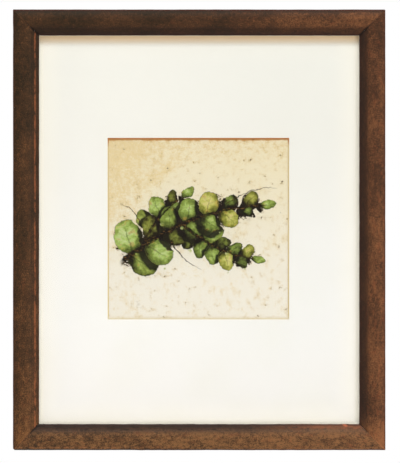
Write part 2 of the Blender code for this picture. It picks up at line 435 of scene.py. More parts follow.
print("editing helpers are ready")

# %% [markdown]
# What is left for every piece is its finishing. Thickness and soft edges come from modifiers, a pattern
# is copied to each of its places, and each piece joins the root body and takes the place of its solid,
# which is hidden. A modifier is applied at once, so that what one measures is what one will see.


# %% Helpers for finishing a piece
def close_shell(piece):
    """Merge the doubles of a piece that has just got its thickness, and turn its faces outwards."""
    edit(piece)
    turn_outwards()
    leave()


def add_modifier(piece, kind, **settings):
    """Add a modifier with its settings and apply it."""
    choose(piece)
    modifier = piece.modifiers.new(kind.lower(), kind)
    for name, value in settings.items():
        setattr(modifier, name, value)
    bpy.ops.object.modifier_apply(modifier=modifier.name)


def soften_edges(piece, width, segments=2, angle=40):
    """Take the sharpness off every hard edge, as handling and paint do."""
    add_modifier(piece, "BEVEL", width=width, segments=segments, limit_method="ANGLE",
                 angle_limit=math.radians(angle), harden_normals=False)


def smooth(piece, angle=30):
    """Shade a piece smoothly, apart from its hard edges."""
    choose(piece)
    bpy.ops.object.shade_smooth_by_angle(angle=math.radians(angle))


def place_copy(original, name, matrix):
    """A copy with its own mesh, moved by a matrix that goes into that mesh."""
    copied = original.copy()
    copied.data = original.data.copy()
    copied.name = name
    copied.data.name = name
    bpy.context.collection.objects.link(copied)
    copied.matrix_world = matrix
    choose(copied)
    settle()
    return copied


def discard(piece):
    """Delete a piece that was only made to be copied."""
    bpy.data.objects.remove(piece, do_unlink=True)


def stand_for(piece, slot, *nodes):
    """Attach a piece to the root body and hide the solids it stands for. The slot is not used."""
    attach(piece, "root")
    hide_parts(*nodes)


print("finishing helpers are ready")

# %% [markdown]
# The moulding
#
# A framer buys moulding by the length and cuts it up, and so does this cell. Its section is drawn from
# one vertex, extruded from point to point around the outline: a flat back, a straight side with a
# rounded edge, a broad crown, a small step down, a slope with a thin bead, and the lip over the
# rabbet. The outline becomes a face, and the face is extruded into a stick. Crosswise cuts let the
# stick wander by a tenth of a millimetre later on, as real wood does.

# %% Draw the section
CROWN_RADIUS = 27.0 * MM
CROWN_MIDDLE = 11.0 * MM
CROWN_END = 19.6 * MM
EDGE_ROUND = 1.5 * MM
STEP_WIDTH = 20.0 * MM
STEP_DROP = 0.7 * MM
BEAD_FROM = 22.6 * MM
BEAD_TO = 25.4 * MM
BEAD_HEIGHT = 0.38 * MM
LIP_HEIGHT = 17.2 * MM
LIP_CHAMFER = 0.6 * MM


def crown_height(width):
    """Height of the rounded face at a distance in from the outer edge."""
    return RAIL_DEPTH - CROWN_RADIUS + math.sqrt(CROWN_RADIUS ** 2 - (width - CROWN_MIDDLE) ** 2)


def slope_height(width):
    """Height of the slope that runs from the step down to the lip, with its bead."""
    top = crown_height(CROWN_END) - STEP_DROP
    share = (width - STEP_WIDTH) / (FACE_WIDTH - LIP_CHAMFER - STEP_WIDTH)
    bead = max(0.0, 1 - abs(2 * (width - BEAD_FROM) / (BEAD_TO - BEAD_FROM) - 1) ** 2.5)
    return top + (LIP_HEIGHT - top) * share + BEAD_HEIGHT * bead


def moulding_section():
    """The section's outline as (width, height) points, from the back's outer corner."""
    points = [(0.0, 0.0)]
    for step in range(7):
        angle = math.pi / 2 * step / 6
        points.append((EDGE_ROUND * (1 - math.cos(angle)),
                       crown_height(EDGE_ROUND) - EDGE_ROUND * (1 - math.sin(angle))))
    for step in range(1, 25):
        width = EDGE_ROUND + (CROWN_END - EDGE_ROUND) * step / 24
        points.append((width, crown_height(width)))
    for step in range(17):
        width = STEP_WIDTH + (FACE_WIDTH - LIP_CHAMFER - STEP_WIDTH) * step / 16
        points.append((width, slope_height(width)))
    points.append((FACE_WIDTH, LIP_HEIGHT - LIP_CHAMFER))
    points.append((FACE_WIDTH, RABBET_DEPTH))
    points.append((FACE_WIDTH - RABBET_WIDTH, RABBET_DEPTH))
    points.append((FACE_WIDTH - RABBET_WIDTH, 0.0))
    return points


section = moulding_section()
print("points around the section:", len(section))

# %% Mill one stick of moulding
STICK_LENGTH = OUTER_HEIGHT + 20 * MM
CROSS_CUTS = 150

stick = add_piece("moulding_stick", bpy.ops.mesh.primitive_plane_add, size=10 * MM)
edit(stick)
take_all()
bpy.ops.mesh.merge(type="CENTER")
bpy.ops.transform.translate(value=(-STICK_LENGTH / 2, 0, 0))
for (width, height), (next_width, next_height) in zip(section, section[1:]):
    push((0, height - next_height, width - next_width))
take_all()
bpy.ops.mesh.edge_face_add()
push((STICK_LENGTH, 0, 0))
pick(stick, "edges", lambda edge: close_to(abs(edge.verts[0].co.x - edge.verts[1].co.x), STICK_LENGTH))
bpy.ops.mesh.subdivide(number_cuts=CROSS_CUTS)
turn_outwards()
leave()
print("stick:", len(stick.data.polygons), "faces,", [round(size, 4) for size in stick.dimensions])

# %% [markdown]
# The four rails
#
# Each rail is a copy of the stick, cut at 45 degrees at both ends. The mitre saw is the bisect operator
# with its fill, so that the cut ends are closed. A third cut takes the sharp tip off each outer corner,
# where a frame is knocked first, and most off the lower left one. The back, the rabbet, the wall over
# the mat and the sawn ends stay bare wood and get the second material.

# %% Set up the mitre saw
MITRE_GAP = 0.05 * MM
WORN_TIP = 0.6 * MM
MOST_WORN_TIP = 1.8 * MM
MOST_WORN_ENDS = (("bottom", 1), ("left", -1))
RAIL_TURNS = {"top": 0, "right": 90, "bottom": 180, "left": 270}

bronze_finish, bronze = new_finish("worn bronze finish")
bare_wood, bare = new_finish("bare wood")
stick.data.materials.append(bronze_finish)
stick.data.materials.append(bare_wood)


def is_bare(face):
    """Whether a face lies on the back, in the rabbet, over the mat or on a sawn end."""
    spot = middle(face)
    width = -spot.z
    height = -spot.y
    on_back = height < 0.01 * MM
    in_rabbet = width > FACE_WIDTH - RABBET_WIDTH - 0.01 * MM and height < RABBET_DEPTH + 0.01 * MM
    over_mat = width > FACE_WIDTH - 0.01 * MM
    sawn = abs(face.normal.x) > 0.5 and face.normal.z < 0.5
    return on_back or in_rabbet or over_mat or sawn


def spans(side):
    """How long the rail on a side is, and how far its outer edge lies from the frame's middle."""
    if side in ("top", "bottom"):
        return OUTER_WIDTH, OUTER_HEIGHT / 2
    return OUTER_HEIGHT, OUTER_WIDTH / 2


def saw_rail(where, turn):
    """One mitred rail, turned to its side of the frame."""
    run, half_span = spans(where)
    rail = place_copy(stick, f"moulding_{where}", Matrix.Identity(4))
    edit(rail)
    for side in (-1, 1):
        tip = MOST_WORN_TIP if (where, side) in MOST_WORN_ENDS else WORN_TIP
        take_all()
        reach = run / 2 - MITRE_GAP / 2 * math.sqrt(2)
        bpy.ops.mesh.bisect(plane_co=(side * reach, 0, 0), plane_no=(side, 0, -1), use_fill=True,
                            clear_outer=True)
        take_all()
        bpy.ops.mesh.bisect(plane_co=(side * run / 2, 0, -tip), plane_no=(side, 0, 1),
                            use_fill=True, clear_outer=True)
    pick(rail, "faces", is_bare)
    rail.active_material_index = 1
    bpy.ops.object.material_slot_assign()
    turn_outwards()
    leave()
    rail.matrix_world = (Matrix.Translation((0, RAIL_BACK, CENTRE_HEIGHT))
                         @ Matrix.Rotation(math.radians(turn), 4, "Y")
                         @ Matrix.Translation((0, 0, half_span)))
    settle()
    return rail


print("the saw leaves a gap of", round(MITRE_GAP / MM, 3), "mm at each mitre")

# %% [markdown]
# The saw cuts a hair short, which leaves the fine dark line that shows at a real mitre. Now all four
# rails are cut and turned to their places, and each stands for its solid.

# %% Saw and place the four rails
rails = []
for side, turn in RAIL_TURNS.items():
    rail = saw_rail(side, turn)
    stand_for(rail, "bronze_wood", f"rail_{side}")
    rails.append(rail)
discard(stick)
print("rails:", [rail.name for rail in rails])

# %% [markdown]
# No hand-finished moulding is dead straight. Two soft cloud textures, one slow and one small, push the
# surface in and out by about a tenth of a millimetre, which is enough for the reflections to waver and
# for the edge along the mat to lose its ruled look. The bottom rail, which hands and dusters reach
# first, is nearly twice as uneven as the others in the small.

# %% Let the wood wander
WANDER = 0.35 * MM
UNEVEN = {"top": 0.16 * MM, "right": 0.16 * MM, "bottom": 0.288 * MM, "left": 0.16 * MM}


def new_clouds(name, patch, depth):
    """A cloud texture, from the size of its patches."""
    made = bpy.data.textures.new(name, "CLOUDS")
    made.noise_scale = patch
    made.noise_depth = depth
    return made


def wander(piece, texture, strength, direction="NORMAL"):
    """Push a piece's surface in and out by a cloud texture."""
    add_modifier(piece, "DISPLACE", texture=texture, texture_coords="GLOBAL", strength=strength,
                 mid_level=0.5, direction=direction)


clouds = new_clouds("slow clouds", 22 * MM, 2)
small_clouds = new_clouds("small clouds", 5 * MM, 1)
for rail, unevenness in zip(rails, UNEVEN.values()):
    wander(rail, clouds, WANDER)
    wander(rail, small_clouds, unevenness)
    smooth(rail, 28)
print("top rail:", len(rails[0].data.polygons), "faces")

# %% [markdown]
# The window mat
#
# A mat is a thick board with a window cut at 45 degrees, so that its core shows as a fine bevel around
# the picture. It could be a board with a hole cut by a boolean. Bisecting a plane along the window's
# four sides is cleaner: the middle face is deleted, the rest is extruded backwards, and the window's
# rear edge is drawn in by the board's thickness, which makes the bevel.

# %% Cut the mat
MAT_THICKNESS = 1.5 * MM
MAT_EDGE_ROUND = 0.12 * MM
mat_low, mat_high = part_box("mat_board")
window_left = WINDOW_X - WINDOW_SIDE / 2
window_right = WINDOW_X + WINDOW_SIDE / 2
window_bottom = WINDOW_Z - WINDOW_SIDE / 2
window_top = WINDOW_Z + WINDOW_SIDE / 2
WINDOW_MIDDLE = Vector((WINDOW_X, 0, WINDOW_Z))

mat = add_piece("window_mat", bpy.ops.mesh.primitive_plane_add, size=1,
                location=(0, mat_low[1], (mat_low[2] + mat_high[2]) / 2),
                rotation=(math.radians(90), 0, 0))
edit(mat)
take_all()
bpy.ops.transform.resize(value=(mat_high[0] - mat_low[0], 1, mat_high[2] - mat_low[2]),
                         center_override=(0, mat_low[1], (mat_low[2] + mat_high[2]) / 2))
for place, normal in (((window_left, 0, 0), (1, 0, 0)), ((window_right, 0, 0), (1, 0, 0)),
                      ((0, 0, window_bottom), (0, 0, 1)), ((0, 0, window_top), (0, 0, 1))):
    take_all()
    bpy.ops.mesh.bisect(plane_co=place, plane_no=normal)
pick(mat, "faces", lambda face: (middle(face) - WINDOW_MIDDLE).xz.length < WINDOW_SIDE / 4)
bpy.ops.mesh.delete(type="FACE")
take_all()
push((0, MAT_THICKNESS, 0))


def is_window_rear(vert):
    """Whether a vertex is a rear corner of the window."""
    away = vert.co - WINDOW_MIDDLE
    on_window = max(abs(away.x), abs(away.z)) < WINDOW_SIDE / 2 + 0.1 * MM
    return on_window and vert.co.y > mat_low[1] + MAT_THICKNESS / 2


pick(mat, "verts", is_window_rear)
narrowed = 1 - 2 * MAT_THICKNESS / WINDOW_SIDE
bpy.ops.transform.resize(value=(narrowed, 1, narrowed), center_override=WINDOW_MIDDLE)
turn_outwards()
leave()
print("mat:", [round(size, 4) for size in mat.dimensions], "with a window of", WINDOW_SIDE)

# %% [markdown]
# The mat has two materials: the cream paper of its faces, and the core that shows on the bevel, which
# age has tanned and which carries painted shade and light. A fine bevel softens its edges, as the knife
# and the years leave them. The faces stay flat, because the glass presses on them.

# %% Finish the mat's shape
mat_paper, mat_face = new_finish("cream mat paper")
mat_core, core = new_finish("browned mat core")
mat.data.materials.append(mat_paper)
mat.data.materials.append(mat_core)


def is_cut_edge(face):
    """Whether a face is one of the window's four bevels or of the board's outer edges."""
    return abs(face.normal.y) < 0.9


edit(mat)
pick(mat, "faces", is_cut_edge)
mat.active_material_index = 1
bpy.ops.object.material_slot_assign()
leave()
soften_edges(mat, MAT_EDGE_ROUND)
smooth(mat, 25)
stand_for(mat, "mat_board", "mat_board")
print("mat:", len(mat.data.polygons), "faces")

# %% [markdown]
# The sheet
#
# The print is a single sheet of heavy paper behind the window. A plane is extruded to the paper's
# thickness and cut into small squares, and slow clouds cockle it by a few hundredths of a millimetre.

# %% Cut and cockle the sheet
sheet_low, sheet_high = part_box("art_print")
SHEET_THICKNESS = sheet_high[1] - sheet_low[1]
SHEET_SIDE = sheet_high[0] - sheet_low[0]
COCKLE = 0.12 * MM
SHEET_SQUARES = 36

print_paper, page = new_finish("painted paper")
art_sheet = add_piece("printed_sheet", bpy.ops.mesh.primitive_grid_add,
                      x_subdivisions=SHEET_SQUARES, y_subdivisions=SHEET_SQUARES, size=SHEET_SIDE,
                      location=(WINDOW_X, sheet_low[1], WINDOW_Z), rotation=(math.radians(90), 0, 0))
edit(art_sheet)
take_all()
push((0, SHEET_THICKNESS, 0))
turn_outwards()
leave()
art_sheet.data.materials.append(print_paper)
wander(art_sheet, clouds, COCKLE, direction="Y")
smooth(art_sheet)
stand_for(art_sheet, "print_paper", "art_print")
print("sheet:", [round(size, 4) for size in art_sheet.dimensions])

# %% [markdown]
# The backing board
#
# Behind everything lies a sheet of hardboard. It is a sawn board, so a cube at its size is only the
# start: its edges are softened, and its saw cuts leave the long sides a little uneven.

# %% Cut the backing board
board_low, board_high = (Vector(corner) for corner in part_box("backing_board"))
BOARD_EDGE_ROUND = 0.35 * MM
BOARD_CUTS = 40
BOARD_WARP = 0.2 * MM

hardboard, board_face = new_finish("hardboard")
board = add_piece("hardboard_back", bpy.ops.mesh.primitive_cube_add, size=1,
                  location=(board_low + board_high) / 2, scale=board_high - board_low)
edit(board)
take_all()
bpy.ops.mesh.subdivide(number_cuts=BOARD_CUTS)
leave()
board.data.materials.append(hardboard)
soften_edges(board, BOARD_EDGE_ROUND)
wander(board, clouds, BOARD_WARP)
smooth(board)
stand_for(board, "hardboard", "backing_board")
print("board:", [round(size, 4) for size in board.dimensions])

# %% [markdown]
# The framer's points
#
# Eight blades of thin steel, two to a rail, stick out of the rabbet's wall and hold the board down.
# A tool presses them in, so each has a pointed end in the wood and a pressed rib down its middle that
# stiffens it. One is modelled above the top rail's rabbet, and copies are turned to the other places.

# %% Press out one point
POINT_WIDTH = 6.0 * MM
POINT_THICKNESS = 0.5 * MM
POINT_TIP = 2.5 * MM
RIB_HALF_WIDTH = 0.8 * MM
RIB_HEIGHT = 0.35 * MM
POINT_EDGE_ROUND = 0.08 * MM
point_low, point_high = (Vector(corner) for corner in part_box("point_top_left"))
point_middle = (point_low + point_high) / 2

zinc_steel, zinc = new_finish("zinc plated steel")
point = add_piece("point_pattern", bpy.ops.mesh.primitive_grid_add, x_subdivisions=8,
                  y_subdivisions=12, size=1,
                  location=(point_middle.x, point_high.y, point_middle.z),
                  rotation=(math.radians(-90), 0, 0))
edit(point)
take_all()
bpy.ops.transform.resize(value=(POINT_WIDTH, 1, point_high.z - point_low.z),
                         center_override=(point_middle.x, point_high.y, point_middle.z))
for side in (-1, 1):
    pick(point, "verts", lambda vert: close_to(vert.co.z, point_high.z, 0.1 * MM)
         and (vert.co.x - point_middle.x) * side > 0.1 * MM)
    bpy.ops.transform.resize(value=(1 - 2 * POINT_TIP / POINT_WIDTH, 1, 1),
                             center_override=(point_middle.x, 0, point_high.z))
pick(point, "verts", lambda vert: abs(vert.co.x - point_middle.x) < RIB_HALF_WIDTH
     and vert.co.z < point_high.z - 5 * MM and vert.co.z > point_low.z + 1.5 * MM)
bpy.ops.transform.translate(value=(0, RIB_HEIGHT, 0))
leave()
add_modifier(point, "SOLIDIFY", thickness=POINT_THICKNESS, offset=-1.0)
soften_edges(point, POINT_EDGE_ROUND, angle=50)
close_shell(point)
point.data.materials.append(zinc_steel)
print("one point:", [round(size, 4) for size in point.dimensions])

# %% [markdown]
# A turn about the frame's middle takes the pattern to its rail, and a shift along the rail takes it to
# its place. The side rails lie nearer to the middle than the top one, which the last shift makes good.

# %% Place the eight points
POINT_FROM_CORNER = 95.0 * MM
POINT_ENDS = {"top": ("left", "right"), "right": ("upper", "lower"), "bottom": ("right", "left"),
              "left": ("lower", "upper")}
around_middle = Matrix.Translation((0, 0, CENTRE_HEIGHT))

for side, turn in RAIL_TURNS.items():
    run, half_span = spans(side)
    nearer = half_span - OUTER_HEIGHT / 2
    for direction_along, end in zip((-1, 1), POINT_ENDS[side]):
        along = direction_along * (run / 2 - POINT_FROM_CORNER) - point_middle.x
        matrix = (around_middle @ Matrix.Rotation(math.radians(turn), 4, "Y")
                  @ around_middle.inverted() @ Matrix.Translation((along, 0, nearer)))
        blade = place_copy(point, f"framers_point_{side}_{end}", matrix)
        smooth(blade, 35)
        stand_for(blade, "zinc_steel", f"point_{side}_{end}")
discard(point)
print("points placed")

# %% [markdown]
# The corner nails
#
# Two angles of sheet steel are driven across each mitre from behind, flush with the wood. Each is a
# strip with a fold in the middle and crimped legs. One is modelled from a grid with its crimps moved,
# thickened, and copied to the eight places.

# %% Fold one corner nail
NAIL_LEG = 6.0 * MM
NAIL_SHEET = 0.6 * MM
NAIL_DEPTH = 10.0 * MM
NAIL_PROUD = 0.06 * MM
NAIL_INSETS = {"outer": 4.5 * MM, "inner": 12.5 * MM}
CRIMP = 0.16 * MM

nail = add_piece("corner_nail_pattern", bpy.ops.mesh.primitive_grid_add, x_subdivisions=24,
                 y_subdivisions=3, size=1, rotation=(math.radians(180), 0, 0))
edit(nail)
take_all()
bpy.ops.transform.resize(value=(2 * NAIL_LEG, NAIL_DEPTH, 1), center_override=(0, 0, 0))
bpy.ops.transform.translate(value=(0, NAIL_PROUD - NAIL_DEPTH / 2, 0))
pick(nail, "verts", lambda vert: round(abs(vert.co.x) / (NAIL_LEG / 12)) % 4 == 2)
bpy.ops.transform.translate(value=(0, 0, CRIMP))
for side in (-1, 1):
    pick(nail, "verts", lambda vert: vert.co.x * side > 0.1 * MM)
    bpy.ops.transform.rotate(value=side * math.radians(-45), orient_axis="Y", center_override=(0, 0, 0))
leave()
fold_ends = sorted(round(vert.co.z / MM, 1) for vert in nail.data.vertices)
print("the nail's legs reach from", fold_ends[0], "to", fold_ends[-1], "mm")

# %% [markdown]
# The strip gets its thickness, and its copies go to the corners, two to each, turned so that every one
# of them straddles its mitre.

# %% Drive the corner nails
add_modifier(nail, "SOLIDIFY", thickness=NAIL_SHEET, offset=0.0)
close_shell(nail)
nail.data.materials.append(zinc_steel)
CORNERS = {"top_right": 45, "bottom_right": 135, "bottom_left": 225, "top_left": 315}

for corner, turn in CORNERS.items():
    across = math.copysign(OUTER_WIDTH / 2, math.sin(math.radians(turn)))
    up = math.copysign(OUTER_HEIGHT / 2, math.cos(math.radians(turn)))
    for label, inset in NAIL_INSETS.items():
        matrix = (Matrix.Translation((across, RAIL_BACK, CENTRE_HEIGHT + up))
                  @ Matrix.Rotation(math.radians(turn), 4, "Y")
                  @ Matrix.Translation((0, 0, -inset * math.sqrt(2) - NAIL_SHEET * 0.7)))
        driven = place_copy(nail, f"mitre_nail_{corner}_{label}", matrix)
        smooth(driven, 35)
        stand_for(driven, "zinc_steel", f"corner_nail_{corner}_{label}")
discard(nail)
print("corner nails driven")

# %% [markdown]
# The hanger
#
# A sawtooth hanger is a strip of steel with a row of teeth along its lower edge, which finds its
# balance on a nail. Its ends are nailed flat to the top rail, and its middle stands off by 1.6 mm. A
# grid has a column of vertices for each tooth and each gap, so the teeth come from moving every
# second vertex of the lower edge up.

# %% Stamp the hanger
HANGER_LENGTH = 45.0 * MM
HANGER_THICKNESS = 0.8 * MM
HANGER_RAISE = 1.6 * MM
TOOTH_STEP = 1.25 * MM
TOOTH_DEPTH = 1.6 * MM
TEETH_REACH = 10 * TOOTH_STEP
RAISED_REACH = 16.5 * MM
TAB_ROUND = 2.4 * MM
hanger_low, hanger_high = (Vector(corner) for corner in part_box("sawtooth_hanger"))
hanger_middle = (hanger_low + hanger_high) / 2
COLUMNS = round(HANGER_LENGTH / TOOTH_STEP)
TAB_BACK = RAIL_BACK + 0.3 * MM

hanger = add_piece("toothed_hanger", bpy.ops.mesh.primitive_grid_add, x_subdivisions=COLUMNS,
                   y_subdivisions=4, size=1, location=(0, TAB_BACK, hanger_middle.z),
                   rotation=(math.radians(-90), 0, 0))
edit(hanger)
take_all()
bpy.ops.transform.resize(value=(HANGER_LENGTH, 1, hanger_high.z - hanger_low.z),
                         center_override=(0, TAB_BACK, hanger_middle.z))
pick(hanger, "verts", lambda vert: close_to(vert.co.z, hanger_low.z, 0.05 * MM)
     and abs(vert.co.x) < TEETH_REACH + 0.1 * MM and round(vert.co.x / TOOTH_STEP) % 2 == 0)
bpy.ops.transform.translate(value=(0, 0, TOOTH_DEPTH))
pick(hanger, "verts", lambda vert: abs(vert.co.x) < RAISED_REACH)
bpy.ops.transform.translate(value=(0, HANGER_RAISE, 0))
pick(hanger, "verts", lambda vert: close_to(abs(vert.co.x), HANGER_LENGTH / 2, 0.1 * MM)
     and not close_to(vert.co.z, hanger_middle.z, 2.5 * MM))
bpy.ops.mesh.bevel(offset=TAB_ROUND, segments=4, affect="VERTICES")
leave()
print("hanger:", [round(size, 4) for size in hanger.dimensions])

# %% [markdown]
# The strip gets its thickness from Solidify. Each nailed end has a round hole, cut with a boolean, and
# the stamping has left all its edges slightly rounded.

# %% Punch the holes and soften the edges
NAIL_FROM_END = 2.6 * MM
HOLE_RADIUS = 1.0 * MM
HANGER_EDGE_ROUND = 0.12 * MM
NAIL_X = HANGER_LENGTH / 2 - NAIL_FROM_END
NAIL_HEIGHT = hanger_middle.z

add_modifier(hanger, "SOLIDIFY", thickness=HANGER_THICKNESS, offset=1.0)
close_shell(hanger)
for side in (-1, 1):
    punch = add_piece("punch", bpy.ops.mesh.primitive_cylinder_add, vertices=24, radius=HOLE_RADIUS,
                      depth=6 * MM, location=(side * NAIL_X, TAB_BACK, NAIL_HEIGHT),
                      rotation=(math.radians(90), 0, 0))
    add_modifier(hanger, "BOOLEAN", operation="DIFFERENCE", solver="EXACT", object=punch)
    discard(punch)
soften_edges(hanger, HANGER_EDGE_ROUND, angle=50)
hanger.data.materials.clear()
hanger.data.materials.append(zinc_steel)
smooth(hanger, 35)
stand_for(hanger, "zinc_steel", "sawtooth_hanger")
print("hanger's y:", [round(min(v.co.y for v in hanger.data.vertices), 5),
                      round(max(v.co.y for v in hanger.data.vertices), 5)])

# %% [markdown]
# The hanger's nails
#
# Each is a short round nail with a flat, slightly domed head. A cylinder is the head, its rear face is
# inset and extruded into the shank, and the end is drawn to a point.

# %% Forge one nail and copy it
HEAD_RADIUS = 1.8 * MM
HEAD_THICKNESS = 0.6 * MM
SHANK_RADIUS = 0.7 * MM
SHANK_LENGTH = 9.0 * MM
HEAD_UNDER = TAB_BACK + HANGER_THICKNESS + 0.3 * MM
HEAD_EDGE_ROUND = 0.06 * MM

brad = add_piece("hanger_nail_pattern", bpy.ops.mesh.primitive_cylinder_add, vertices=32,
                 radius=HEAD_RADIUS, depth=HEAD_THICKNESS * 0.75,
                 location=(0, HEAD_UNDER + HEAD_THICKNESS * 0.375, NAIL_HEIGHT),
                 rotation=(math.radians(-90), 0, 0))
edit(brad)
pick(brad, "faces", lambda face: face.normal.y < -0.9)
bpy.ops.mesh.inset(thickness=HEAD_RADIUS - SHANK_RADIUS)
push((0, -(SHANK_LENGTH - 2 * SHANK_RADIUS), 0))
push((0, -2 * SHANK_RADIUS, 0))
bpy.ops.mesh.merge(type="CENTER")
pick(brad, "faces", lambda face: face.normal.y > 0.9)
for thickness, rise in ((0.45, 0.12), (0.5, 0.07), (0.45, 0.03)):
    bpy.ops.mesh.inset(thickness=thickness * MM)
    bpy.ops.transform.translate(value=(0, rise * MM, 0))
leave()
print("one nail:", [round(size, 5) for size in brad.dimensions])

# %% [markdown]
# The pattern has its dome and its depth already. Each copy moves sideways to its hole, and a fine bevel
# takes the sharpness off the rim of its head.

# %% Place the nails
brad.data.materials.append(zinc_steel)
for side, name in ((-1, "left"), (1, "right")):
    driven = place_copy(brad, f"hanger_brad_{name}", Matrix.Translation((side * NAIL_X, 0, 0)))
    soften_edges(driven, HEAD_EDGE_ROUND, angle=50)
    smooth(driven, 30)
    stand_for(driven, "zinc_steel", f"hanger_nail_{name}")
discard(brad)
print("hanger nails placed")

# %% [markdown]
# The bumpers
#
# Two buttons of dark rubber keep the bottom of the frame as far from the wall as the hanger keeps the
# top. Each is a cylinder whose face is inset and pushed in for a shallow dish, with rounded edges.

# %% Mould one bumper and copy it
BUMPER_RADIUS = 5.5 * MM
BUMPER_BASE = RAIL_BACK + 0.3 * MM
BUMPER_INSET = 14 * MM
BUMPER_X = OUTER_WIDTH / 2 - BUMPER_INSET
BUMPER_Z = CENTRE_HEIGHT - OUTER_HEIGHT / 2 + BUMPER_INSET
BUMPER_EDGE_ROUND = 0.5 * MM

rubber, rubber_skin = new_finish("dark rubber")
button = add_piece("bumper_pattern", bpy.ops.mesh.primitive_cylinder_add, vertices=48,
                   radius=BUMPER_RADIUS, depth=-BUMPER_BASE, location=(0, BUMPER_BASE / 2, BUMPER_Z),
                   rotation=(math.radians(-90), 0, 0))
edit(button)
pick(button, "faces", lambda face: face.normal.y > 0.9)
bpy.ops.mesh.inset(thickness=1.5 * MM)
bpy.ops.mesh.inset(thickness=0.5 * MM)
bpy.ops.transform.translate(value=(0, -0.35 * MM, 0))
bpy.ops.mesh.inset(thickness=1.6 * MM)
bpy.ops.transform.translate(value=(0, -0.1 * MM, 0))
leave()
button.data.materials.append(rubber)
soften_edges(button, BUMPER_EDGE_ROUND, segments=4, angle=50)
for side, name in ((-1, "left"), (1, "right")):
    stuck = place_copy(button, f"rubber_bumper_{name}", Matrix.Translation((side * BUMPER_X, 0, 0)))
    smooth(stuck, 35)
    stand_for(stuck, "bumper_rubber", f"bumper_{name}")
discard(button)
print("bumpers stuck on")

# %% [markdown]
# The bronze finish
#
# The moulding was painted in a dark earth colour, gilded with bronze leaf or powder, and then toned and
# rubbed. What shows is a brown metal that is mottled at several sizes: slow olive and red clouds of
# five to ten millimetres, drawn out along the rail, blotches of two or three, and fine specks. Its
# colour also holds painted light: a painted sheen, mixed with wear, brightens it from the upper left
# corner to the lower right one, and painted shade darkens the outer shoulder of the top and left rails.
# Two things follow the moulding itself. The toning has settled on the slope beside the mat and on the
# outer edge, deepened by painted shade where the slope faces away from the light. Painted highlights
# lie along the bead and the bottom rail's outer edge, and the bottom rail's inner edge is rubbed
# through to the red ground at its right end.
#
# The distance in from the outer edge is the smaller of the distances to a side and to an end, which
# also switches at the mitre, so one finish serves all four rails. A number that differs from rail to
# rail is added to the noise's third axis, so that the mottling breaks off at each mitre as it should.


# %% Where a point lies on the moulding
def on_the_moulding(start):
    """Distance in from the outer edge, the place along the rail and in depth, the place from the
    frame's middle, and whether the rail is a side rail."""
    place = start.object_place()
    x, y, z = (place - (0.0, 0.0, CENTRE_HEIGHT)).split()
    from_side = OUTER_WIDTH / 2 - abs(x)
    from_end = OUTER_HEIGHT / 2 - abs(z)
    on_side_rail = from_side.maths("LESS_THAN", from_end)
    width = from_side.maths("MINIMUM", from_end)
    along = x + on_side_rail * (z - x)
    rail_number = z.maths("SIGN") + on_side_rail * (x.maths("SIGN") * 2 + 5 - z.maths("SIGN"))
    return width, along, y + rail_number, x, z, on_side_rail


def off_the_mitre(x, z):
    """How much further a point is from a side than from an end, or the other way round."""
    return abs((OUTER_WIDTH / 2 - abs(x)) - (OUTER_HEIGHT / 2 - abs(z)))


print("the moulding's places are set up")

# %% Colour of the bronze
DARK_OLIVE = srgb(38, 30, 20)
BROWN = srgb(68, 45, 29)
BRONZE = srgb(124, 82, 50)
RED_GROUND = srgb(124, 68, 40)
TONED = srgb(30, 20, 15)
PALE_SPECK = srgb(150, 102, 62)

width, along, depth, from_middle, up_from_middle, on_side_rail = on_the_moulding(bronze)
drawn_out = (along * 0.6).vector(width, depth)
even = along.vector(width, depth)
slow = drawn_out.noise(42.0, 2.0, 0.5)
clouded = drawn_out.noise(300.0, 5.0, 0.65)
fine = even.noise(900.0, 4.0, 0.7)
wiped = (width * 0.22).vector(along, depth).noise(620.0, 2.0, 0.5)
# A gradient from the upper left corner (-1) to the lower right one (1): wear, and painted sheen where the
# side softbox lights the bronze.
glow_and_wear = (from_middle - up_from_middle) / (OUTER_WIDTH / 2 + OUTER_HEIGHT / 2)
on_right = on_side_rail * from_middle.maths("GREATER_THAN", 0.0)
on_left = on_side_rail - on_right
on_bottom = (1 - on_side_rail) * up_from_middle.maths("LESS_THAN", 0.0)
on_top = 1 - on_side_rail - on_bottom
# Painted shade on the outer shoulder, mostly of the top and left rails, which face away from the light
# there.
shaded_shoulder = width.step(9.0 * MM, 1.0 * MM)
low = up_from_middle.step(-110.0 * MM, -225.0 * MM)
at_foot = up_from_middle.step(-190.0 * MM, -226.0 * MM)
grit = even.noise(420.0, 2.0, 0.5)
top_right = on_top * from_middle.step(-20.0 * MM, 170.0 * MM)
speckled = on_bottom * 0.10 + 0.58
# Painted sheen and wear: the tone rises with the gradient towards the lower right, with offsets for single
# rails and corners.
tone = (slow * 0.26 + clouded * 0.32 + (clouded - 0.5) * on_bottom * 0.22 + (fine - 0.5) * speckled
        + wiped * 0.10 + 0.175 + glow_and_wear * 0.11 + on_bottom * 0.02 + top_right * 0.07
        + low * (on_left * 0.04 - on_right * 0.07) + at_foot * on_right * 0.18
        + (grit - 0.5) * (on_bottom * 0.14 + 0.08)
        - on_right * glow_and_wear * 0.05 - shaded_shoulder * (on_top * 0.10 + on_left * 0.055 + on_bottom * 0.02))
colour = tone.ramp((0.34, DARK_OLIVE), (0.50, BROWN), (0.68, BRONZE))
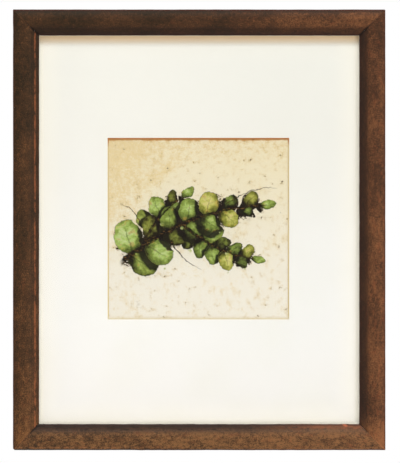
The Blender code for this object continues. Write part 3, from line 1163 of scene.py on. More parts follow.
# The red patches grow towards the lower right with the painted sheen.
orange_patches = drawn_out.noise(210.0, 5.0, 0.68).step(0.50, 0.72)
colour = (orange_patches * (0.26 + glow_and_wear * 0.20)).between(colour, RED_GROUND)
specks = even.noise(1250.0, 3.0, 0.65).step(0.60, 0.70)
colour = (specks * 0.45).between(colour, PALE_SPECK)
dark_specks = even.noise(700.0, 4.0, 0.7).step(0.42, 0.31)
colour = (dark_specks * 0.5).between(colour, TONED)
ruddy = from_middle / OUTER_WIDTH + 0.5 - on_bottom * 0.5
colour = colour * ruddy.between((1.0, 1.02, 0.94), (1.04, 0.98, 1.02))
colour = colour * on_bottom.between((0.80, 0.80, 0.80), (0.81, 0.88, 0.97))
print("bronze colours set")

# %% [markdown]
# The edges come next. Each is a mask of the distance from the outer edge, roughened with noise so that
# no line is ruled. The slope is toned nearly black, with painted shade that makes it darker on the
# right and bottom rails and much lighter on the left one, whose slope faces the side softbox. Painted
# highlights lie along the bead and along the bottom rail's outer edge, and painted shade along the top
# rail's outer edge. The bottom rail shows red at its right end, where it is rubbed and painted glow
# lightens it, and black blotches at its left.

# %% Toned slope and rubbed edges
RED_RUB = srgb(112, 60, 38)
TOP_SHADE = srgb(28, 17, 9)
BLOTCH = srgb(22, 16, 10)
BEAD_HIGHLIGHT = srgb(140, 78, 46)
BAND_SHADE = srgb(28, 19, 12)
LIP_BROWN = srgb(42, 23, 18)
EDGE_HIGHLIGHT = srgb(134, 84, 54)
EDGE_RED = srgb(62, 26, 16)
EDGE_GREY = srgb(36, 33, 31)

ragged = width + (clouded - 0.5) * 6.0 * MM + (fine - 0.5) * 2.0 * MM
on_slope = ragged.step(15.0 * MM, 23.5 * MM)
# The right part of the bottom rail: rubbed, and with painted glow from the side softbox, so it is toned
# less.
lit_and_rubbed_low = on_bottom * from_middle.step(20.0 * MM, 150.0 * MM)
# Toning, with painted shade: more on the right and bottom rails, much less on the left one, which faces the
# light, and less where the glow is painted.
toned = 0.66 + on_right * (0.14 - at_foot * 0.40) + on_bottom * 0.12 - on_left * 0.42 - lit_and_rubbed_low * 0.34
colour = (on_slope * toned).between(colour, TONED)
reddened = lit_and_rubbed_low * (ragged + 1.0 * MM).step(22.5 * MM, 26.5 * MM) * (clouded + 0.2).step(0.50, 0.80)
colour = (reddened * 0.5).between(colour, RED_RUB)
# Painted shade along the top rail's outer edge.
colour = (width.step(5.0 * MM, 1.5 * MM) * on_top * 0.65).between(colour, TOP_SHADE)
blotches = on_bottom * width.step(19.0 * MM, 23.0 * MM) * clouded.step(0.50, 0.60) * (1 - lit_and_rubbed_low)
colour = (blotches * 0.75).between(colour, BLOTCH)
on_bead = width.step(22.4 * MM, 23.1 * MM) * width.step(24.9 * MM, 24.1 * MM)
# Painted highlight on the bead, mostly on the left rail, whose slope faces the side softbox.
bead_highlight = on_bead * (clouded + slow * 0.6 - 0.26).step(0.38, 0.62) * (on_left * 0.48 + on_bottom * 0.06)
colour = bead_highlight.between(colour, BEAD_HIGHLIGHT)
low_band = on_bottom * (1 - lit_and_rubbed_low) * (ragged * 0.4 + width * 0.6).step(22.0 * MM, 24.6 * MM)
colour = (low_band * 0.55).between(colour, BAND_SHADE)
on_lip = width.step(25.6 * MM, 26.4 * MM)
colour = (on_lip * (0.6 - on_left * 0.3)).between(colour, LIP_BROWN)
on_outer_edge = (width + (fine - 0.5) * 0.8 * MM).step(1.8 * MM, 0.6 * MM)
# Painted highlight along the bottom rail's outer edge, towards its left end.
edge_highlight = width.step(1.7 * MM, 2.3 * MM) * width.step(3.7 * MM, 2.9 * MM) * on_bottom
edge_highlight = edge_highlight * from_middle.step(20.0 * MM, -120.0 * MM) * clouded.step(0.40, 0.60)
colour = (edge_highlight * 0.4).between(colour, EDGE_HIGHLIGHT)
edge_colour = (on_bottom * (0.5 - from_middle / OUTER_WIDTH)).between(EDGE_RED, EDGE_GREY)
colour = (on_outer_edge * 0.75).between(colour, edge_colour)
print("slope and edges are toned")

# %% [markdown]
# The mitre is a mask too: how much nearer a point is to a side than to an end. The toning has gathered in
# the joint, and along it runs a light line, partly wear and partly painted highlight, which grows towards
# the lower right with the painted sheen. Painted shade, a dark wedge, lies in the inner corner at the
# joint's end, weaker where the glow is painted. The chip is a small ellipse on the lower rail's inner
# edge, where the red ground shows.

# %% Mitres and a chip
MITRE_HIGHLIGHT_RUB = srgb(150, 92, 56)
WEDGE_SHADE = srgb(16, 11, 8)
CHIP_RED = srgb(158, 84, 52)
CHIP_X = 157.0 * MM
CHIP_Z = -210.6 * MM
CHIP_HALF_WIDTH = 3.6 * MM
CHIP_HALF_HEIGHT = 1.5 * MM

off_mitre = off_the_mitre(from_middle, up_from_middle)
mitre_line = off_mitre.step(0.75 * MM, 0.2 * MM)
mitre_dark = mitre_line * (clouded + width * 22 - 0.1).step(0.62, 0.85)
# Partly wear, partly painted highlight along the joint, growing towards the lower right.
mitre_highlight_and_wear = mitre_line * (clouded + width * 14).step(0.78, 0.60) * (glow_and_wear + fine).step(0.40, 0.70)
colour = (mitre_dark * 0.8).between(colour, TONED)
colour = (mitre_highlight_and_wear * 0.5).between(colour, MITRE_HIGHLIGHT_RUB)
# Painted shade in the inner corner at the mitre, weaker where the glow is painted.
shaded_wedge = off_mitre.step(2.4 * MM, 0.5 * MM) * width.step(16.0 * MM, 21.0 * MM)
colour = (shaded_wedge * (0.75 - (lit_and_rubbed_low + on_right * at_foot) * 0.65)).between(colour, WEDGE_SHADE)
chip_x = (from_middle - CHIP_X) / CHIP_HALF_WIDTH
chip_z = (up_from_middle - CHIP_Z + (from_middle - CHIP_X) * 0.25) / CHIP_HALF_HEIGHT
chip = (chip_x * chip_x + chip_z * chip_z + clouded * 3.0).step(2.5, 1.6)
colour = (chip * 0.6).between(colour, CHIP_RED)

set_surface(bronze_finish, {
    "Base Color": colour,
    "Metallic": 0.48 - on_slope * 0.2,
    "Roughness": 0.44 + clouded * 0.2 + on_slope * 0.08,
    "Specular IOR Level": 0.12,
    "Normal": (clouded * 0.5 + fine * 0.5 - dark_specks * 0.3).bump(0.35, 0.25 * MM)})
print("bronze finish is ready")

# %% [markdown]
# The bare wood
#
# From behind, the moulding is plain pale wood, with the growth rings as fine lines along each rail,
# pores as short dark dashes, and saw marks. The brown stain has run over from the sides onto the first
# two millimetres of the back. The pattern is noise that is stretched thirty times along the rail. The
# front of the rabbet is lined with white tape, as framers do to keep raw wood off a mat, and the light
# it gives back, together with painted light in the mat's own colour, keeps the mat pale up to the lip.

# %% Grain, pores and stain
PALE_WOOD = srgb(214, 182, 136)
RING_WOOD = srgb(182, 142, 96)
PORE = srgb(120, 84, 52)
STAIN = srgb(84, 58, 40)
RABBET_TAPE = srgb(254, 248, 232)

width, along, depth, from_middle, up_from_middle, _ = on_the_moulding(bare)
waver = (along * 0.4).vector(width, depth).noise(30.0, 2.0) * 1.2 * MM
rings = (along * 0.02).vector(width + waver, depth).noise(520.0, 3.0, 0.5)
pores = (along * 0.06).vector(width, depth).noise(2300.0, 2.0, 0.5).step(0.62, 0.72)
wood_colour = rings.step(0.36, 0.64).between(PALE_WOOD, RING_WOOD)
wood_colour = (pores * 0.6).between(wood_colour, PORE)
grime = along.vector(width, depth).noise(26.0, 4.0, 0.6)
wood_colour = (grime.step(0.45, 0.8) * 0.3).between(wood_colour, RING_WOOD)
overrun = (width + (along * 0.5).vector(width, depth).noise(180.0, 4.0) * 3 * MM).step(3.8 * MM, 2.4 * MM)
wood_colour = (overrun * 0.85).between(wood_colour, STAIN)
_, forwards, _ = bare.object_place().split()
in_rabbet = width.step(20.6 * MM, 20.9 * MM) * forwards.step(-12.2 * MM, -12.6 * MM)
wood_colour = (in_rabbet * 0.94).between(wood_colour, RABBET_TAPE)
wood_colour = off_the_mitre(from_middle, up_from_middle).step(0.3 * MM, 0.1 * MM).between(wood_colour, STAIN)
saw_marks = (along + width * 0.15).vector(depth, width).noise(700.0, 1.0)
set_surface(bare_wood, {
    "Base Color": wood_colour,
    "Roughness": 0.78 - overrun * 0.15,
    "Normal": (rings * 0.5 + saw_marks * 0.3 - pores * 0.6).bump(0.5, 0.15 * MM)})
print("bare wood is ready")

# %% [markdown]
# The mat's paper and its core
#
# The paper is a warm cream, nearly even, with soft fibres that only show in raking light. Its colour
# also holds painted light: it is paler beside the side and bottom rails and just past the top rail's
# shadow, a little darker in its upper part and towards the right, and lighter low down. A tan painted
# shadow lies under the top rail. The core on the bevel is tan, with painted shade that makes the upper
# bevel brown and painted light that makes the lower one pale.

# %% Cream paper
CREAM = srgb(234, 232, 229)
CREAM_DEEP = srgb(232, 230, 225)
CREAM_SHADED_TOP = srgb(230, 228, 221)
CREAM_LIT_EDGE = srgb(250, 244, 230)
UNTOUCHED = (1.0, 1.0, 1.0)
SHADOW_TAN = srgb(230, 198, 152)
MAT_FLECK = srgb(222, 210, 184)

place = mat_face.object_place()
fibres = place.noise(1400.0, 3.0, 0.6)
soft_clouds = place.noise(18.0, 3.0, 0.5)
flecks = place.noise(2600.0, 1.0, 0.5).step(0.70, 0.78)
cream = soft_clouds.step(0.35, 0.75).between(CREAM, CREAM_DEEP)
cream = (flecks * 0.25).between(cream, MAT_FLECK)
x, y, z = place.split()
# Painted shade: the upper part of the mat is a little darker.
cream = z.step(CENTRE_HEIGHT - 0.1, CENTRE_HEIGHT + 0.2).between(cream, CREAM_SHADED_TOP)
below_top = (CENTRE_HEIGHT + OUTER_HEIGHT / 2 - FACE_WIDTH) - z
from_bottom = z - (CENTRE_HEIGHT - OUTER_HEIGHT / 2 + FACE_WIDTH)
from_sides = (OUTER_WIDTH / 2 - FACE_WIDTH) - abs(x)
# Painted shadow: a tan band under the top rail, as far down as its shadow reaches.
painted_top_shadow = below_top.step(11.4 * MM, 1.0 * MM)
# Painted light just past the lower edge of the top rail's shadow.
lit_past_shadow = below_top.step(10.4 * MM, 11.3 * MM) * below_top.step(34.0 * MM, 11.0 * MM)
from_rails = from_sides.maths("MINIMUM", from_bottom + 0.6 * MM)
# Painted light: paler beside the side and bottom rails, against the shade under the lip.
painted_edge_light = from_rails.step(7.0 * MM, 1.0 * MM) * 0.4 + from_rails.step(32.0 * MM, 2.0 * MM) * 0.3
painted_edge_light = (painted_edge_light + lit_past_shadow * 0.10) * (1 - painted_top_shadow)
# Painted light low down, and painted shade towards the right, which evens out the side softbox's light.
lit_low_down = z.step(CENTRE_HEIGHT - 0.08, CENTRE_HEIGHT - 0.19)
cream = cream * lit_low_down.between(UNTOUCHED, (1.02, 1.01, 1.01))
shaded_to_the_right = x.step(-150.0 * MM, 150.0 * MM)
cream = cream * shaded_to_the_right.between(UNTOUCHED, (0.95, 0.955, 0.955))
cream = painted_edge_light.between(cream, CREAM_LIT_EDGE)
cream = (painted_top_shadow * 0.75).between(cream, SHADOW_TAN)
set_surface(mat_paper, {
    "Base Color": cream,
    "Roughness": 0.9,
    "Normal": (fibres + soft_clouds * 0.3).bump(0.12, 0.1 * MM)})
print("mat paper is ready")

# %% [markdown]
# The core's colour follows the height on the window: the lower bevel is pale, as painted light, the
# side ones are tan, and the upper one is brown, as painted shade. A little noise keeps the borders
# between them from being ruled.

# %% Browned core
CORE_SHADED_TOP = srgb(180, 120, 63)
CORE_SIDE = srgb(214, 195, 149)
CORE_LIT_BOTTOM = srgb(216, 205, 179)

place = core.object_place()
x, y, z = place.split()
height_share = (z - window_bottom) / WINDOW_SIDE
core_noise = place.noise(220.0, 4.0, 0.6)
# Painted light on the lower bevel and painted shade on the upper one, around the tan of the sides.
core_colour = (height_share + (core_noise - 0.5) * 0.02).ramp(
    (0.0, CORE_LIT_BOTTOM), (0.02, CORE_SIDE), (0.95, CORE_SIDE), (0.99, CORE_SHADED_TOP))
core_colour = (core_noise.step(0.5, 0.8) * 0.25).between(core_colour, CORE_SHADED_TOP)
set_surface(mat_core, {
    "Base Color": core_colour,
    "Roughness": 0.95,
    "Normal": place.noise(1800.0, 2.0).bump(0.3, 0.08 * MM)})
print("mat core is ready")

# %% [markdown]
# The page
#
# The sheet is old: pale at the bottom, more yellow towards the top, with golden stains in the upper left
# and faint strokes of a wash. Its shader works in millimetres on the page, with the window's middle as
# the origin and the page's up as the second axis, which one Mapping node gives.

# %% Aged paper
PAGE_TOP = srgb(242, 231, 200)
PAGE_BOTTOM = srgb(246, 240, 227)
STAIN_GOLD = srgb(226, 194, 116)
STAIN_PALE = srgb(232, 210, 162)

place = page.object_place()
paper_mm = place.node("ShaderNodeMapping", {"vector_type": "TEXTURE"}, {
    "Vector": place, "Location": (WINDOW_X, sheet_low[1], WINDOW_Z),
    "Rotation": (math.radians(90), 0, 0), "Scale": (MM, MM, MM)}) * (1.0, 1.0, 0.0)
across, up, _ = paper_mm.split()
slow_mottle = paper_mm.noise(0.035, 4.0, 0.6)
mottle = paper_mm.noise(0.13, 5.0, 0.68)
fine_mottle = paper_mm.noise(0.6, 4.0, 0.7)
brush_marks = (paper_mm * (1.0, 0.25, 1.0)).noise(0.22, 4.0, 0.65)
paper = (up + slow_mottle * 80.0 - 40.0).step(-80.0, 85.0).between(PAGE_BOTTOM, PAGE_TOP)
near_top = up.step(50.0, 100.0)
near_left = across.step(-20.0, -100.0) * up.step(-50.0, 40.0)
along_streak = across + 39
streak = abs(up - 61 - along_streak * 0.7).step(16.0, 0.0) * abs(along_streak).step(28.0, 4.0)
region = near_top * 0.16 + near_left * 0.26 + streak * 0.22
golden = (mottle + fine_mottle * 0.8 + region - 0.93).step(0.0, 0.26)
paper = (golden * 0.5).between(paper, STAIN_GOLD)
washes = (brush_marks * 0.5 + mottle * 0.5 + slow_mottle * 0.5).step(0.76, 0.92)
paper = (washes * 0.40).between(paper, STAIN_PALE)
print("the paper's tone is set")

# %% [markdown]
# Over the tone lie the small marks of age: crazed size in the stains, pale and brown flecks, a grey
# smudge low on the left, and a brown edge along the top, a stain with the painted shadow of the mat's
# bevel over it.

# %% Small marks of age
CRACK_PALE = srgb(250, 243, 222)
FLECK_PALE = srgb(250, 244, 228)
UMBER = srgb(204, 168, 112)
SMUDGE = srgb(176, 160, 130)
EDGE_STAIN_SHADOW = srgb(208, 150, 84)

cracks = paper_mm + (mottle * 14.0).vector(fine_mottle * 9.0, 0.0)
crazed = abs(cracks.noise(0.28, 3.0, 0.6) - 0.5).step(0.018, 0.004)
paper = (crazed * golden * 0.55).between(paper, CRACK_PALE)
fleck = paper_mm.noise(0.9, 3.0, 0.65).step(0.58, 0.68)
paper = (fleck * 0.45).between(paper, FLECK_PALE)
umber_fleck = (paper_mm + (31.0, 17.0, 0.0)).noise(0.7, 3.0, 0.7).step(0.62, 0.74)
paper = (umber_fleck * 0.16).between(paper, UMBER)
smudge_noise = (paper_mm + (7.0, 3.0, 0.0)).noise(0.3, 4.0, 0.7)
aside = across + 66
above = up + 82
smudge = smudge_noise - (aside * aside * 0.0011 + above * above * 0.006)
paper = (smudge.step(0.45, 0.62) * 0.35).between(paper, SMUDGE)
# A stain with the painted shadow of the mat's bevel, along the top of the window.
top_stain_and_shadow = (up + (mottle - 0.5) * 5.0).step(94.2, 96.2)
paper = (top_stain_and_shadow * 0.9).between(paper, EDGE_STAIN_SHADOW)
foot_line = (up + (mottle - 0.5) * 2.0).step(-93.5, -96.0)
paper = (foot_line * 0.2).between(paper, STAIN_PALE)
print("aged paper is ready")

# %% [markdown]
# The spray's layout
#
# A leaf spray is a generic motif, so its layout is simply worked out: three twigs, each a shallow bow,
# carry pairs of round leaves that get smaller and lean more forward towards the tip. Lists of leaves
# come from a formula, and their tones from the golden ratio, which never repeats.

# %% Lay out the leaves
GOLDEN = 0.618034
MAIN_TWIG = {"start": (-82.0, -36.0), "end": (72.0, 26.0), "bow": 14.0, "pairs": 7,
             "sizes": (17.0, 8.5), "lean": (66.0, 42.0)}
UPPER_TWIG = {"start": (-58.0, -12.0), "end": (-16.0, 36.0), "bow": 4.0, "pairs": 3,
              "sizes": (12.5, 8.0), "lean": (60.0, 42.0)}
LOWER_TWIG = {"start": (-16.0, 4.0), "end": (60.0, -33.0), "bow": -6.0, "pairs": 5,
              "sizes": (13.0, 7.5), "lean": (62.0, 42.0)}
TWIGS = (UPPER_TWIG, LOWER_TWIG, MAIN_TWIG)


def on_twig(twig, share):
    """The point at a share of a twig's length, and the way that the twig runs there."""
    start = Vector(twig["start"])
    run = Vector(twig["end"]) - start
    aside = Vector((-run.y, run.x)).normalized()
    point = start + run * share + aside * twig["bow"] * 4 * share * (1 - share)
    way = run + aside * twig["bow"] * 4 * (1 - 2 * share)
    return point, math.atan2(way.y, way.x)


def leaves_of(twig, first_number):
    """The twig's leaves: (middle, half length, half width, angle, tone), from foot to tip."""
    found = []
    number = first_number
    for pair in range(twig["pairs"]):
        share = (pair + 0.55) / (twig["pairs"] + 0.6)
        for side in (1, -1):
            number += 1
            chance = number * GOLDEN % 1
            size = twig["sizes"][0] + (twig["sizes"][1] - twig["sizes"][0]) * share
            size *= 0.86 + 0.3 * chance
            lean = twig["lean"][0] + (twig["lean"][1] - twig["lean"][0]) * share
            point, way = on_twig(twig, share + 0.25 * side / (twig["pairs"] + 0.6) / 2)
            angle = way + side * math.radians(lean + 14 * (chance - 0.5))
            out = Vector((math.cos(angle), math.sin(angle)))
            found.append((point + out * size * 0.98, size, size * (0.66 + 0.16 * chance), angle, chance))
    point, way = on_twig(twig, 0.97)
    tip = twig["sizes"][1]
    found.append((point + Vector((math.cos(way), math.sin(way))) * tip, tip, tip * 0.6, way, 0.7))
    return found


leaves = []
for twig in TWIGS:
    leaves += leaves_of(twig, len(leaves) * 3)
print("leaves:", len(leaves))

# %% [markdown]
# Painting the leaves
#
# Each leaf gets a Mapping node that lays the page over it: on the leaf, the first axis then runs from
# -1 at its foot to 1 at its tip, the second from edge to edge, and the third carries the leaf's tone.
# Only these three numbers are kept for the topmost leaf at each point, and with them the shade that
# its neighbours throw on it. All painting is then done once, on those numbers. The page is first
# warped a little with noise, so that every outline trembles like a brush stroke.

# %% Stack the leaves
SHADE_SHIFT = Vector((-1.6, -3.0))
TREMBLE = 3.0
SMALL_TREMBLE = 1.2
OFF_ANY_LEAF = (1.6, 1.6, 0.0)

wobble = paper_mm.noise(0.09, 3.0, 0.5, "Color") - (0.5, 0.5, 0.5)
small_wobble = paper_mm.noise(0.42, 2.0, 0.5, "Color") - (0.5, 0.5, 0.5)
brushed = (paper_mm + wobble * (2 * TREMBLE, 2 * TREMBLE, 0.0)
           + small_wobble * (2 * SMALL_TREMBLE, 2 * SMALL_TREMBLE, 0.0))


def squared(here):
    """The square of a vector's length: on a leaf's own axes this is 1 along its outline."""
    return here.node("ShaderNodeVectorMath", {"operation": "DOT_PRODUCT"}, {0: here, 1: here}, "Value")


def add_leaf(topmost, covered, shade, near, centre, length, breadth, angle, tone):
    """Lay one more leaf on the page: the numbers of the topmost leaf, whether any leaf covers a point,
    the shade on it, and how near a leaf is."""
    here = brushed.node("ShaderNodeMapping", {"vector_type": "TEXTURE"}, {
        "Vector": brushed, "Location": (centre[0], centre[1], -tone), "Rotation": (0, 0, angle),
        "Scale": (length, breadth, 1.0)})
    flat = here * (1.0, 1.0, 0.0)
    shift = Matrix.Rotation(-angle, 2) @ SHADE_SHIFT
    inside = squared(flat).maths("MULTIPLY_ADD", -10.0, 10.0, clamp=True)
    moved = flat - (shift.x / length, shift.y / breadth, 0.0)
    cast = squared(moved).maths("MULTIPLY_ADD", -0.9, 1.8, clamp=True)
    shade = shade.maths("MAXIMUM", cast) * (1 - inside)
    near = near.maths("MAXIMUM", cast)
    covered = covered.maths("MAXIMUM", inside)
    topmost = inside.node("ShaderNodeMix", {"data_type": "VECTOR"}, {
        "Factor_Float": inside, "A_Vector": topmost, "B_Vector": here}, "Result_Vector")
    return topmost, covered, shade, near


topmost = paper_mm * (0.0, 0.0, 0.0) + OFF_ANY_LEAF
covered = shade = near = across * 0.0
for leaf in leaves:
    topmost, covered, shade, near = add_leaf(topmost, covered, shade, near, *leaf)
print("nodes on the page:", len(print_paper.node_tree.nodes))

# %% [markdown]
# Now the painting itself, all of it on the numbers of the topmost leaf. In a watercolour a leaf is a
# soft disc: light where the paper shines through in its middle, olive further out, and nearly black
# at its foot, where wet paint has pooled. No two have the same green, some are touched with ochre, and
# a thin dark line of dried pigment runs along some of the edge.

# %% Paint the leaves
INK = srgb(24, 16, 11)
INK_EDGE = srgb(84, 56, 40)
LEAF_DARK = srgb(34, 28, 15)
LEAF_DEEP = srgb(72, 72, 34)
LEAF_GREEN = srgb(110, 118, 52)
LEAF_LIGHT = srgb(148, 158, 74)
LEAF_PALE = srgb(188, 198, 112)
LEAF_GLOW = srgb(216, 216, 158)
OCHRE = srgb(200, 150, 66)

u, v, leaf_tone = topmost.split()
edge = squared(topmost * (1.0, 1.0, 0.0))
pigment = brushed.noise(0.16, 4.0, 0.6)
grainy = paper_mm.noise(0.9, 3.0, 0.6)
rounded = 1 - edge
pooled = u.step(0.05, -0.95)
light = (leaf_tone * 0.56 + v * 0.14 + rounded * 0.36 + pigment * 1.25 + grainy * 0.2 - pooled * 0.34
         - 0.745)
leaf = light.ramp((0.04, LEAF_DARK), (0.20, LEAF_DEEP), (0.36, LEAF_GREEN), (0.56, LEAF_LIGHT),
                  (0.74, LEAF_PALE), (0.94, LEAF_GLOW))
warm_leaf = (leaf_tone * 7.3).maths("FRACT").step(0.3, 0.8)
leaf = leaf * warm_leaf.between((0.88, 1.02, 0.95), (1.12, 0.98, 0.80))
touched = (pigment + leaf_tone * 0.12 - rounded * 0.05).step(0.64, 0.71)
leaf = (touched * 0.5).between(leaf, OCHRE)
midrib = (abs(v + (pigment - 0.5) * 0.12) + u * 0.03).step(0.075, 0.02) * u.step(0.85, 0.3)
veins = ((u * 9 - abs(v) * 6 + pigment * 3).maths("SINE") * 0.5 + 0.5).step(0.86, 0.98)
leaf = (veins * 0.16 * edge.step(0.9, 0.5)).between(leaf, LEAF_DARK)
leaf = (midrib * 0.45).between(leaf, LEAF_DARK)
print("leaf colours set")

# %% [markdown]
# The twigs are brush strokes. Each is a shallow bow, which in the twig's own frame is a parabola, so the
# distance to the stroke is simply the height above it. The stroke gets thinner towards the tip. The
# same distance says where the dark ground lies, which was laid in along the twigs before the leaves.


# %% Twigs and tendrils
def twig_stroke(twig, foot_width, tip_width, reach):
    """The mask of one twig's brush stroke, and how near a point is to it."""
    start = Vector(twig["start"])
    run = Vector(twig["end"]) - start
    half = run.length / 2
    centre = start + run / 2
    here = brushed.node("ShaderNodeMapping", {"vector_type": "TEXTURE"}, {
        "Vector": brushed, "Location": (centre.x, centre.y, 0), "Scale": (half, 1.0, 1.0),
        "Rotation": (0, 0, math.atan2(run.y, run.x))})
    u, v, _ = here.split()
    off = abs(v - (1 - u * u) * twig["bow"])
    thick = u * ((tip_width - foot_width) / 2) + (tip_width + foot_width) / 2
    beyond = abs(u).step(1.05, 0.97)
    closeness = (1 - off / reach) * abs(u).step(1.04, 0.86)
    return (off - thick * 0.5).step(0.35, -0.25) * beyond, closeness


TENDRILS = ({"start": (30.0, 26.0), "end": (84.0, 44.0), "bow": 5.0},
            {"start": (-30.0, -12.0), "end": (4.0, -44.0), "bow": -5.0},
            {"start": (-62.0, 4.0), "end": (-84.0, 26.0), "bow": -4.0})
strokes, by_twig = twig_stroke(MAIN_TWIG, 5.8, 1.6, 22.0)
for twig, foot, tip, reach in ((UPPER_TWIG, 3.4, 1.0, 13.0), (LOWER_TWIG, 3.8, 1.0, 14.0)):
    stroke, closeness = twig_stroke(twig, foot, tip, reach)
    strokes = strokes.maths("MAXIMUM", stroke)
    by_twig = by_twig.maths("MAXIMUM", closeness)
for tendril in TENDRILS:
    strokes = strokes.maths("MAXIMUM", twig_stroke(tendril, 1.3, 0.2, 1.0)[0])
print("strokes:", 3 + len(TENDRILS))

# %% [markdown]
# The shade between the leaves is painted nearly black, because it stands for the deep gaps in the
# foliage. It falls to one side, down and a little left, so that each leaf stands clear of the next.
# Pale drops are spattered into the dark, as a painter flicks clean water at it.

# %% Gaps, outlines and the dark ground behind
GROUND_WASH = srgb(184, 160, 112)
DROP_PALE = srgb(206, 208, 148)
DROP_GREEN = srgb(158, 172, 84)

thickness = (pigment - 0.5) * 1.7 - v * 0.14
outline = (edge + thickness - 0.97).step(0.0, 0.14)
leaf = (outline * 0.7).between(leaf, INK)
gap = (shade + (pigment - 0.5) * 1.2).step(0.12, 0.56)
leaf = (gap * 0.95).between(leaf, INK)
dry_brush = (paper_mm * (0.45, 1.3, 1.0)).noise(0.34, 5.0, 0.72)
torn = (mottle - 0.5) * 2.0 + (dry_brush - 0.5) * 1.3 + (grainy - 0.5) * 0.3
ground = (by_twig + torn).maths("MINIMUM", near * 1.6 + (mottle - 0.5) * 2.5)
washed = (ground.step(0.05, 0.50) * 0.32).between(paper, GROUND_WASH)
washed = (ground.step(0.31, 0.43) * 0.85).between(washed, INK_EDGE)
washed = (ground.step(0.37, 0.50) * 0.97).between(washed, INK)
painted = covered.between(washed, leaf)
drop_place = paper_mm + small_wobble * (1.5, 1.5, 0.0)
drop_chance = drop_place.cells(0.10, "Color") * (0.36, 0.0, 0.0)
drops = (drop_place.cells(0.10) + squared(drop_chance).maths("SQRT")).step(0.27, 0.22)
drops = drops * (ground + gap).step(0.4, 0.9)
drop_colour = pigment.step(0.4, 0.6).between(DROP_PALE, DROP_GREEN)
painted = (drops * 0.8).between(painted, drop_colour)
print("ground laid")

# %% [markdown]
# Last come the twigs, over the leaves and with a golden gleam where the brush ran dry, and a fine spatter
# of paint around the spray. The studio's lights are strong, so one factor dims the whole page at the end.

# %% The finished page
GILT = srgb(164, 118, 52)
SPATTER_BROWN = srgb(70, 56, 34)
FADED = (0.82, 0.82, 0.82)

bristles = (pigment + grainy * 0.5).step(0.86, 0.66)
painted = (strokes * (bristles * 0.3 + 0.7)).between(painted, INK)
gilded = strokes * (dry_brush + grainy * 0.6).step(0.84, 0.96)
painted = (gilded * 0.6).between(painted, GILT)
spatter_place = paper_mm + wobble * (6.0, 6.0, 0.0)
spatter = spatter_place.cells(0.16).step(0.075, 0.045) * abs(up - 2).step(50.0, 30.0)
painted = (spatter * pigment.step(0.42, 0.56) * 0.75).between(painted, SPATTER_BROWN)

set_surface(print_paper, {
    "Base Color": painted * FADED,
    "Roughness": 0.88,
    "Specular IOR Level": 0.15,
    "Normal": (paper_mm.noise(1.6, 3.0, 0.6) + grainy * 0.5).bump(0.2, 0.08 * MM)})
print("nodes on the page:", len(print_paper.node_tree.nodes))

# %% [markdown]
# Hardboard
#
# Hardboard is pressed wood fibre. Its rough side, which faces the wall, keeps the print of the wire
# screen that it was pressed on: a fine diagonal mesh, 1.5 mm from wire to wire.

# %% Fibre and screen
FIBRE = srgb(140, 102, 66)
FIBRE_DARK = srgb(108, 74, 45)
FIBRE_LIGHT = srgb(170, 130, 88)
SCREEN_PITCH = 1.5 * MM

place = board_face.object_place()
x, y, z = place.split()
turns = 2 * math.pi / SCREEN_PITCH
screen = (x * turns).maths("SINE") * (z * turns).maths("SINE")
chips = place.noise(420.0, 5.0, 0.7)
patches = place.noise(22.0, 3.0, 0.5)
fibre = (chips * 0.8 + patches * 0.3 + screen * 0.06 - 0.06).ramp(
    (0.36, FIBRE_DARK), (0.5, FIBRE), (0.68, FIBRE_LIGHT))
set_surface(hardboard, {
    "Base Color": fibre,
    "Roughness": 0.85,
    "Normal": (screen * 0.35 + chips * 0.6).bump(0.6, 0.25 * MM)})
print("hardboard is ready")

# %% [markdown]
# Steel and rubber
#
# The small steel pieces are zinc plated: a grey metal with a cloudy sheen and a first trace of white
# rust. The rubber is nearly black, dull, and has picked up some dust.

# %% Zinc plated steel
ZINC_DARK = srgb(158, 160, 160)
ZINC_LIGHT = srgb(196, 197, 194)
TARNISHED = srgb(132, 122, 106)

place = zinc.object_place()
spangle = place.noise(900.0, 3.0, 0.6)
tarnish = place.noise(260.0, 4.0, 0.65).step(0.52, 0.74)
zinc_colour = spangle.between(ZINC_DARK, ZINC_LIGHT)
zinc_colour = (tarnish * 0.45).between(zinc_colour, TARNISHED)
set_surface(zinc_steel, {
    "Base Color": zinc_colour,
    "Metallic": 1.0 - tarnish * 0.35,
    "Roughness": 0.28 + spangle * 0.16 + tarnish * 0.2,
    "Normal": spangle.bump(0.15, 0.05 * MM)})
print("steel is ready")

# %% [markdown]
# Rubber is the plainest finish here: dark and dull, with dust that lies on it in cloudy patches.

# %% Rubber
RUBBER_DARK = srgb(44, 42, 40)
DUST_GREY = srgb(92, 88, 80)

place = rubber_skin.object_place()
dust = place.noise(600.0, 4.0, 0.6)
set_surface(rubber, {
    "Base Color": (dust.step(0.5, 0.75) * 0.5).between(RUBBER_DARK, DUST_GREY),
    "Roughness": 0.7 + dust * 0.2,
    "Normal": dust.bump(0.2, 0.06 * MM)})
print("rubber is ready")

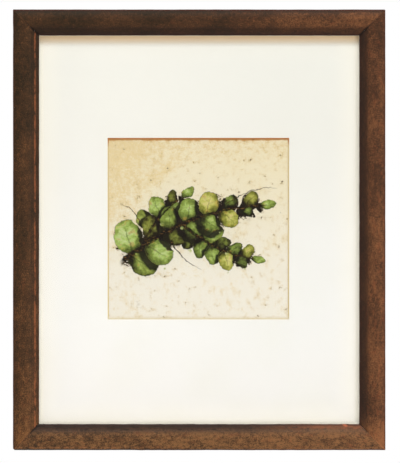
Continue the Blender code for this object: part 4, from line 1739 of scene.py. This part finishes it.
# %% [markdown]
# Glass
#
# Thin picture glass bends no light that one would notice: it lets it through and mirrors a little, more
# at a slant. A true refracting glass would also darken what lies behind it, because light reaches that
# only along bent paths. Mixing a clear and a mirroring shader by Fresnel gives the same look without
# that. The solid is a plain sheet already, so it stays and only its material changes.

# %% Clear glass
CLEAR_TINT = (0.995, 0.996, 0.995)
MIRROR_TINT = (0.95, 0.97, 0.96)
GLASS_BEND = 1.45
MIRRORED_SHARE = 0.6

picture_glass, pane = new_finish("picture glass")
tree = picture_glass.node_tree
tree.nodes.remove(tree.nodes["Principled BSDF"])
clear = pane.node("ShaderNodeBsdfTransparent", None, {"Color": CLEAR_TINT})
mirror = pane.node("ShaderNodeBsdfAnisotropic", None, {"Color": MIRROR_TINT, "Roughness": 0.03})
fresnel = pane.node("ShaderNodeFresnel", None, {"IOR": GLASS_BEND})
surface = pane.node("ShaderNodeMixShader", None, {0: fresnel * MIRRORED_SHARE, 1: clear, 2: mirror})
feed(tree, tree.nodes["Material Output"].inputs["Surface"], surface)
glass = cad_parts["glass"]
glass.material_slots[0].material = picture_glass
print("glass is ready")

# %% [markdown]
# The floor
#
# The picture hangs, so nothing of a floor shows in the photograph. A round pale floor nearly half a
# metre below the frame stays out of the camera's sight and out of the low softbox's way.

# %% Lay the floor
FLOOR_RADIUS = 0.9
FLOOR_DROP = 0.45
FLOOR_THICKNESS = 10 * MM
PAINT_WHITE = srgb(246, 245, 242)
PAINT_GREYED = srgb(240, 239, 236)

floor_level = CENTRE_HEIGHT - OUTER_HEIGHT / 2 - FLOOR_DROP
floor = add_piece("pale_floor", bpy.ops.mesh.primitive_cylinder_add, vertices=96, radius=FLOOR_RADIUS,
                  depth=FLOOR_THICKNESS, location=(0, 0, floor_level - FLOOR_THICKNESS / 2))
pale_paint, floor_paint = new_finish("pale paint")
place = floor_paint.object_place()
brushwork = place.noise(40.0, 4.0, 0.6)
set_surface(pale_paint, {
    "Base Color": brushwork.between(PAINT_GREYED, PAINT_WHITE),
    "Roughness": 0.8})
floor.data.materials.append(pale_paint)
print("floor laid")
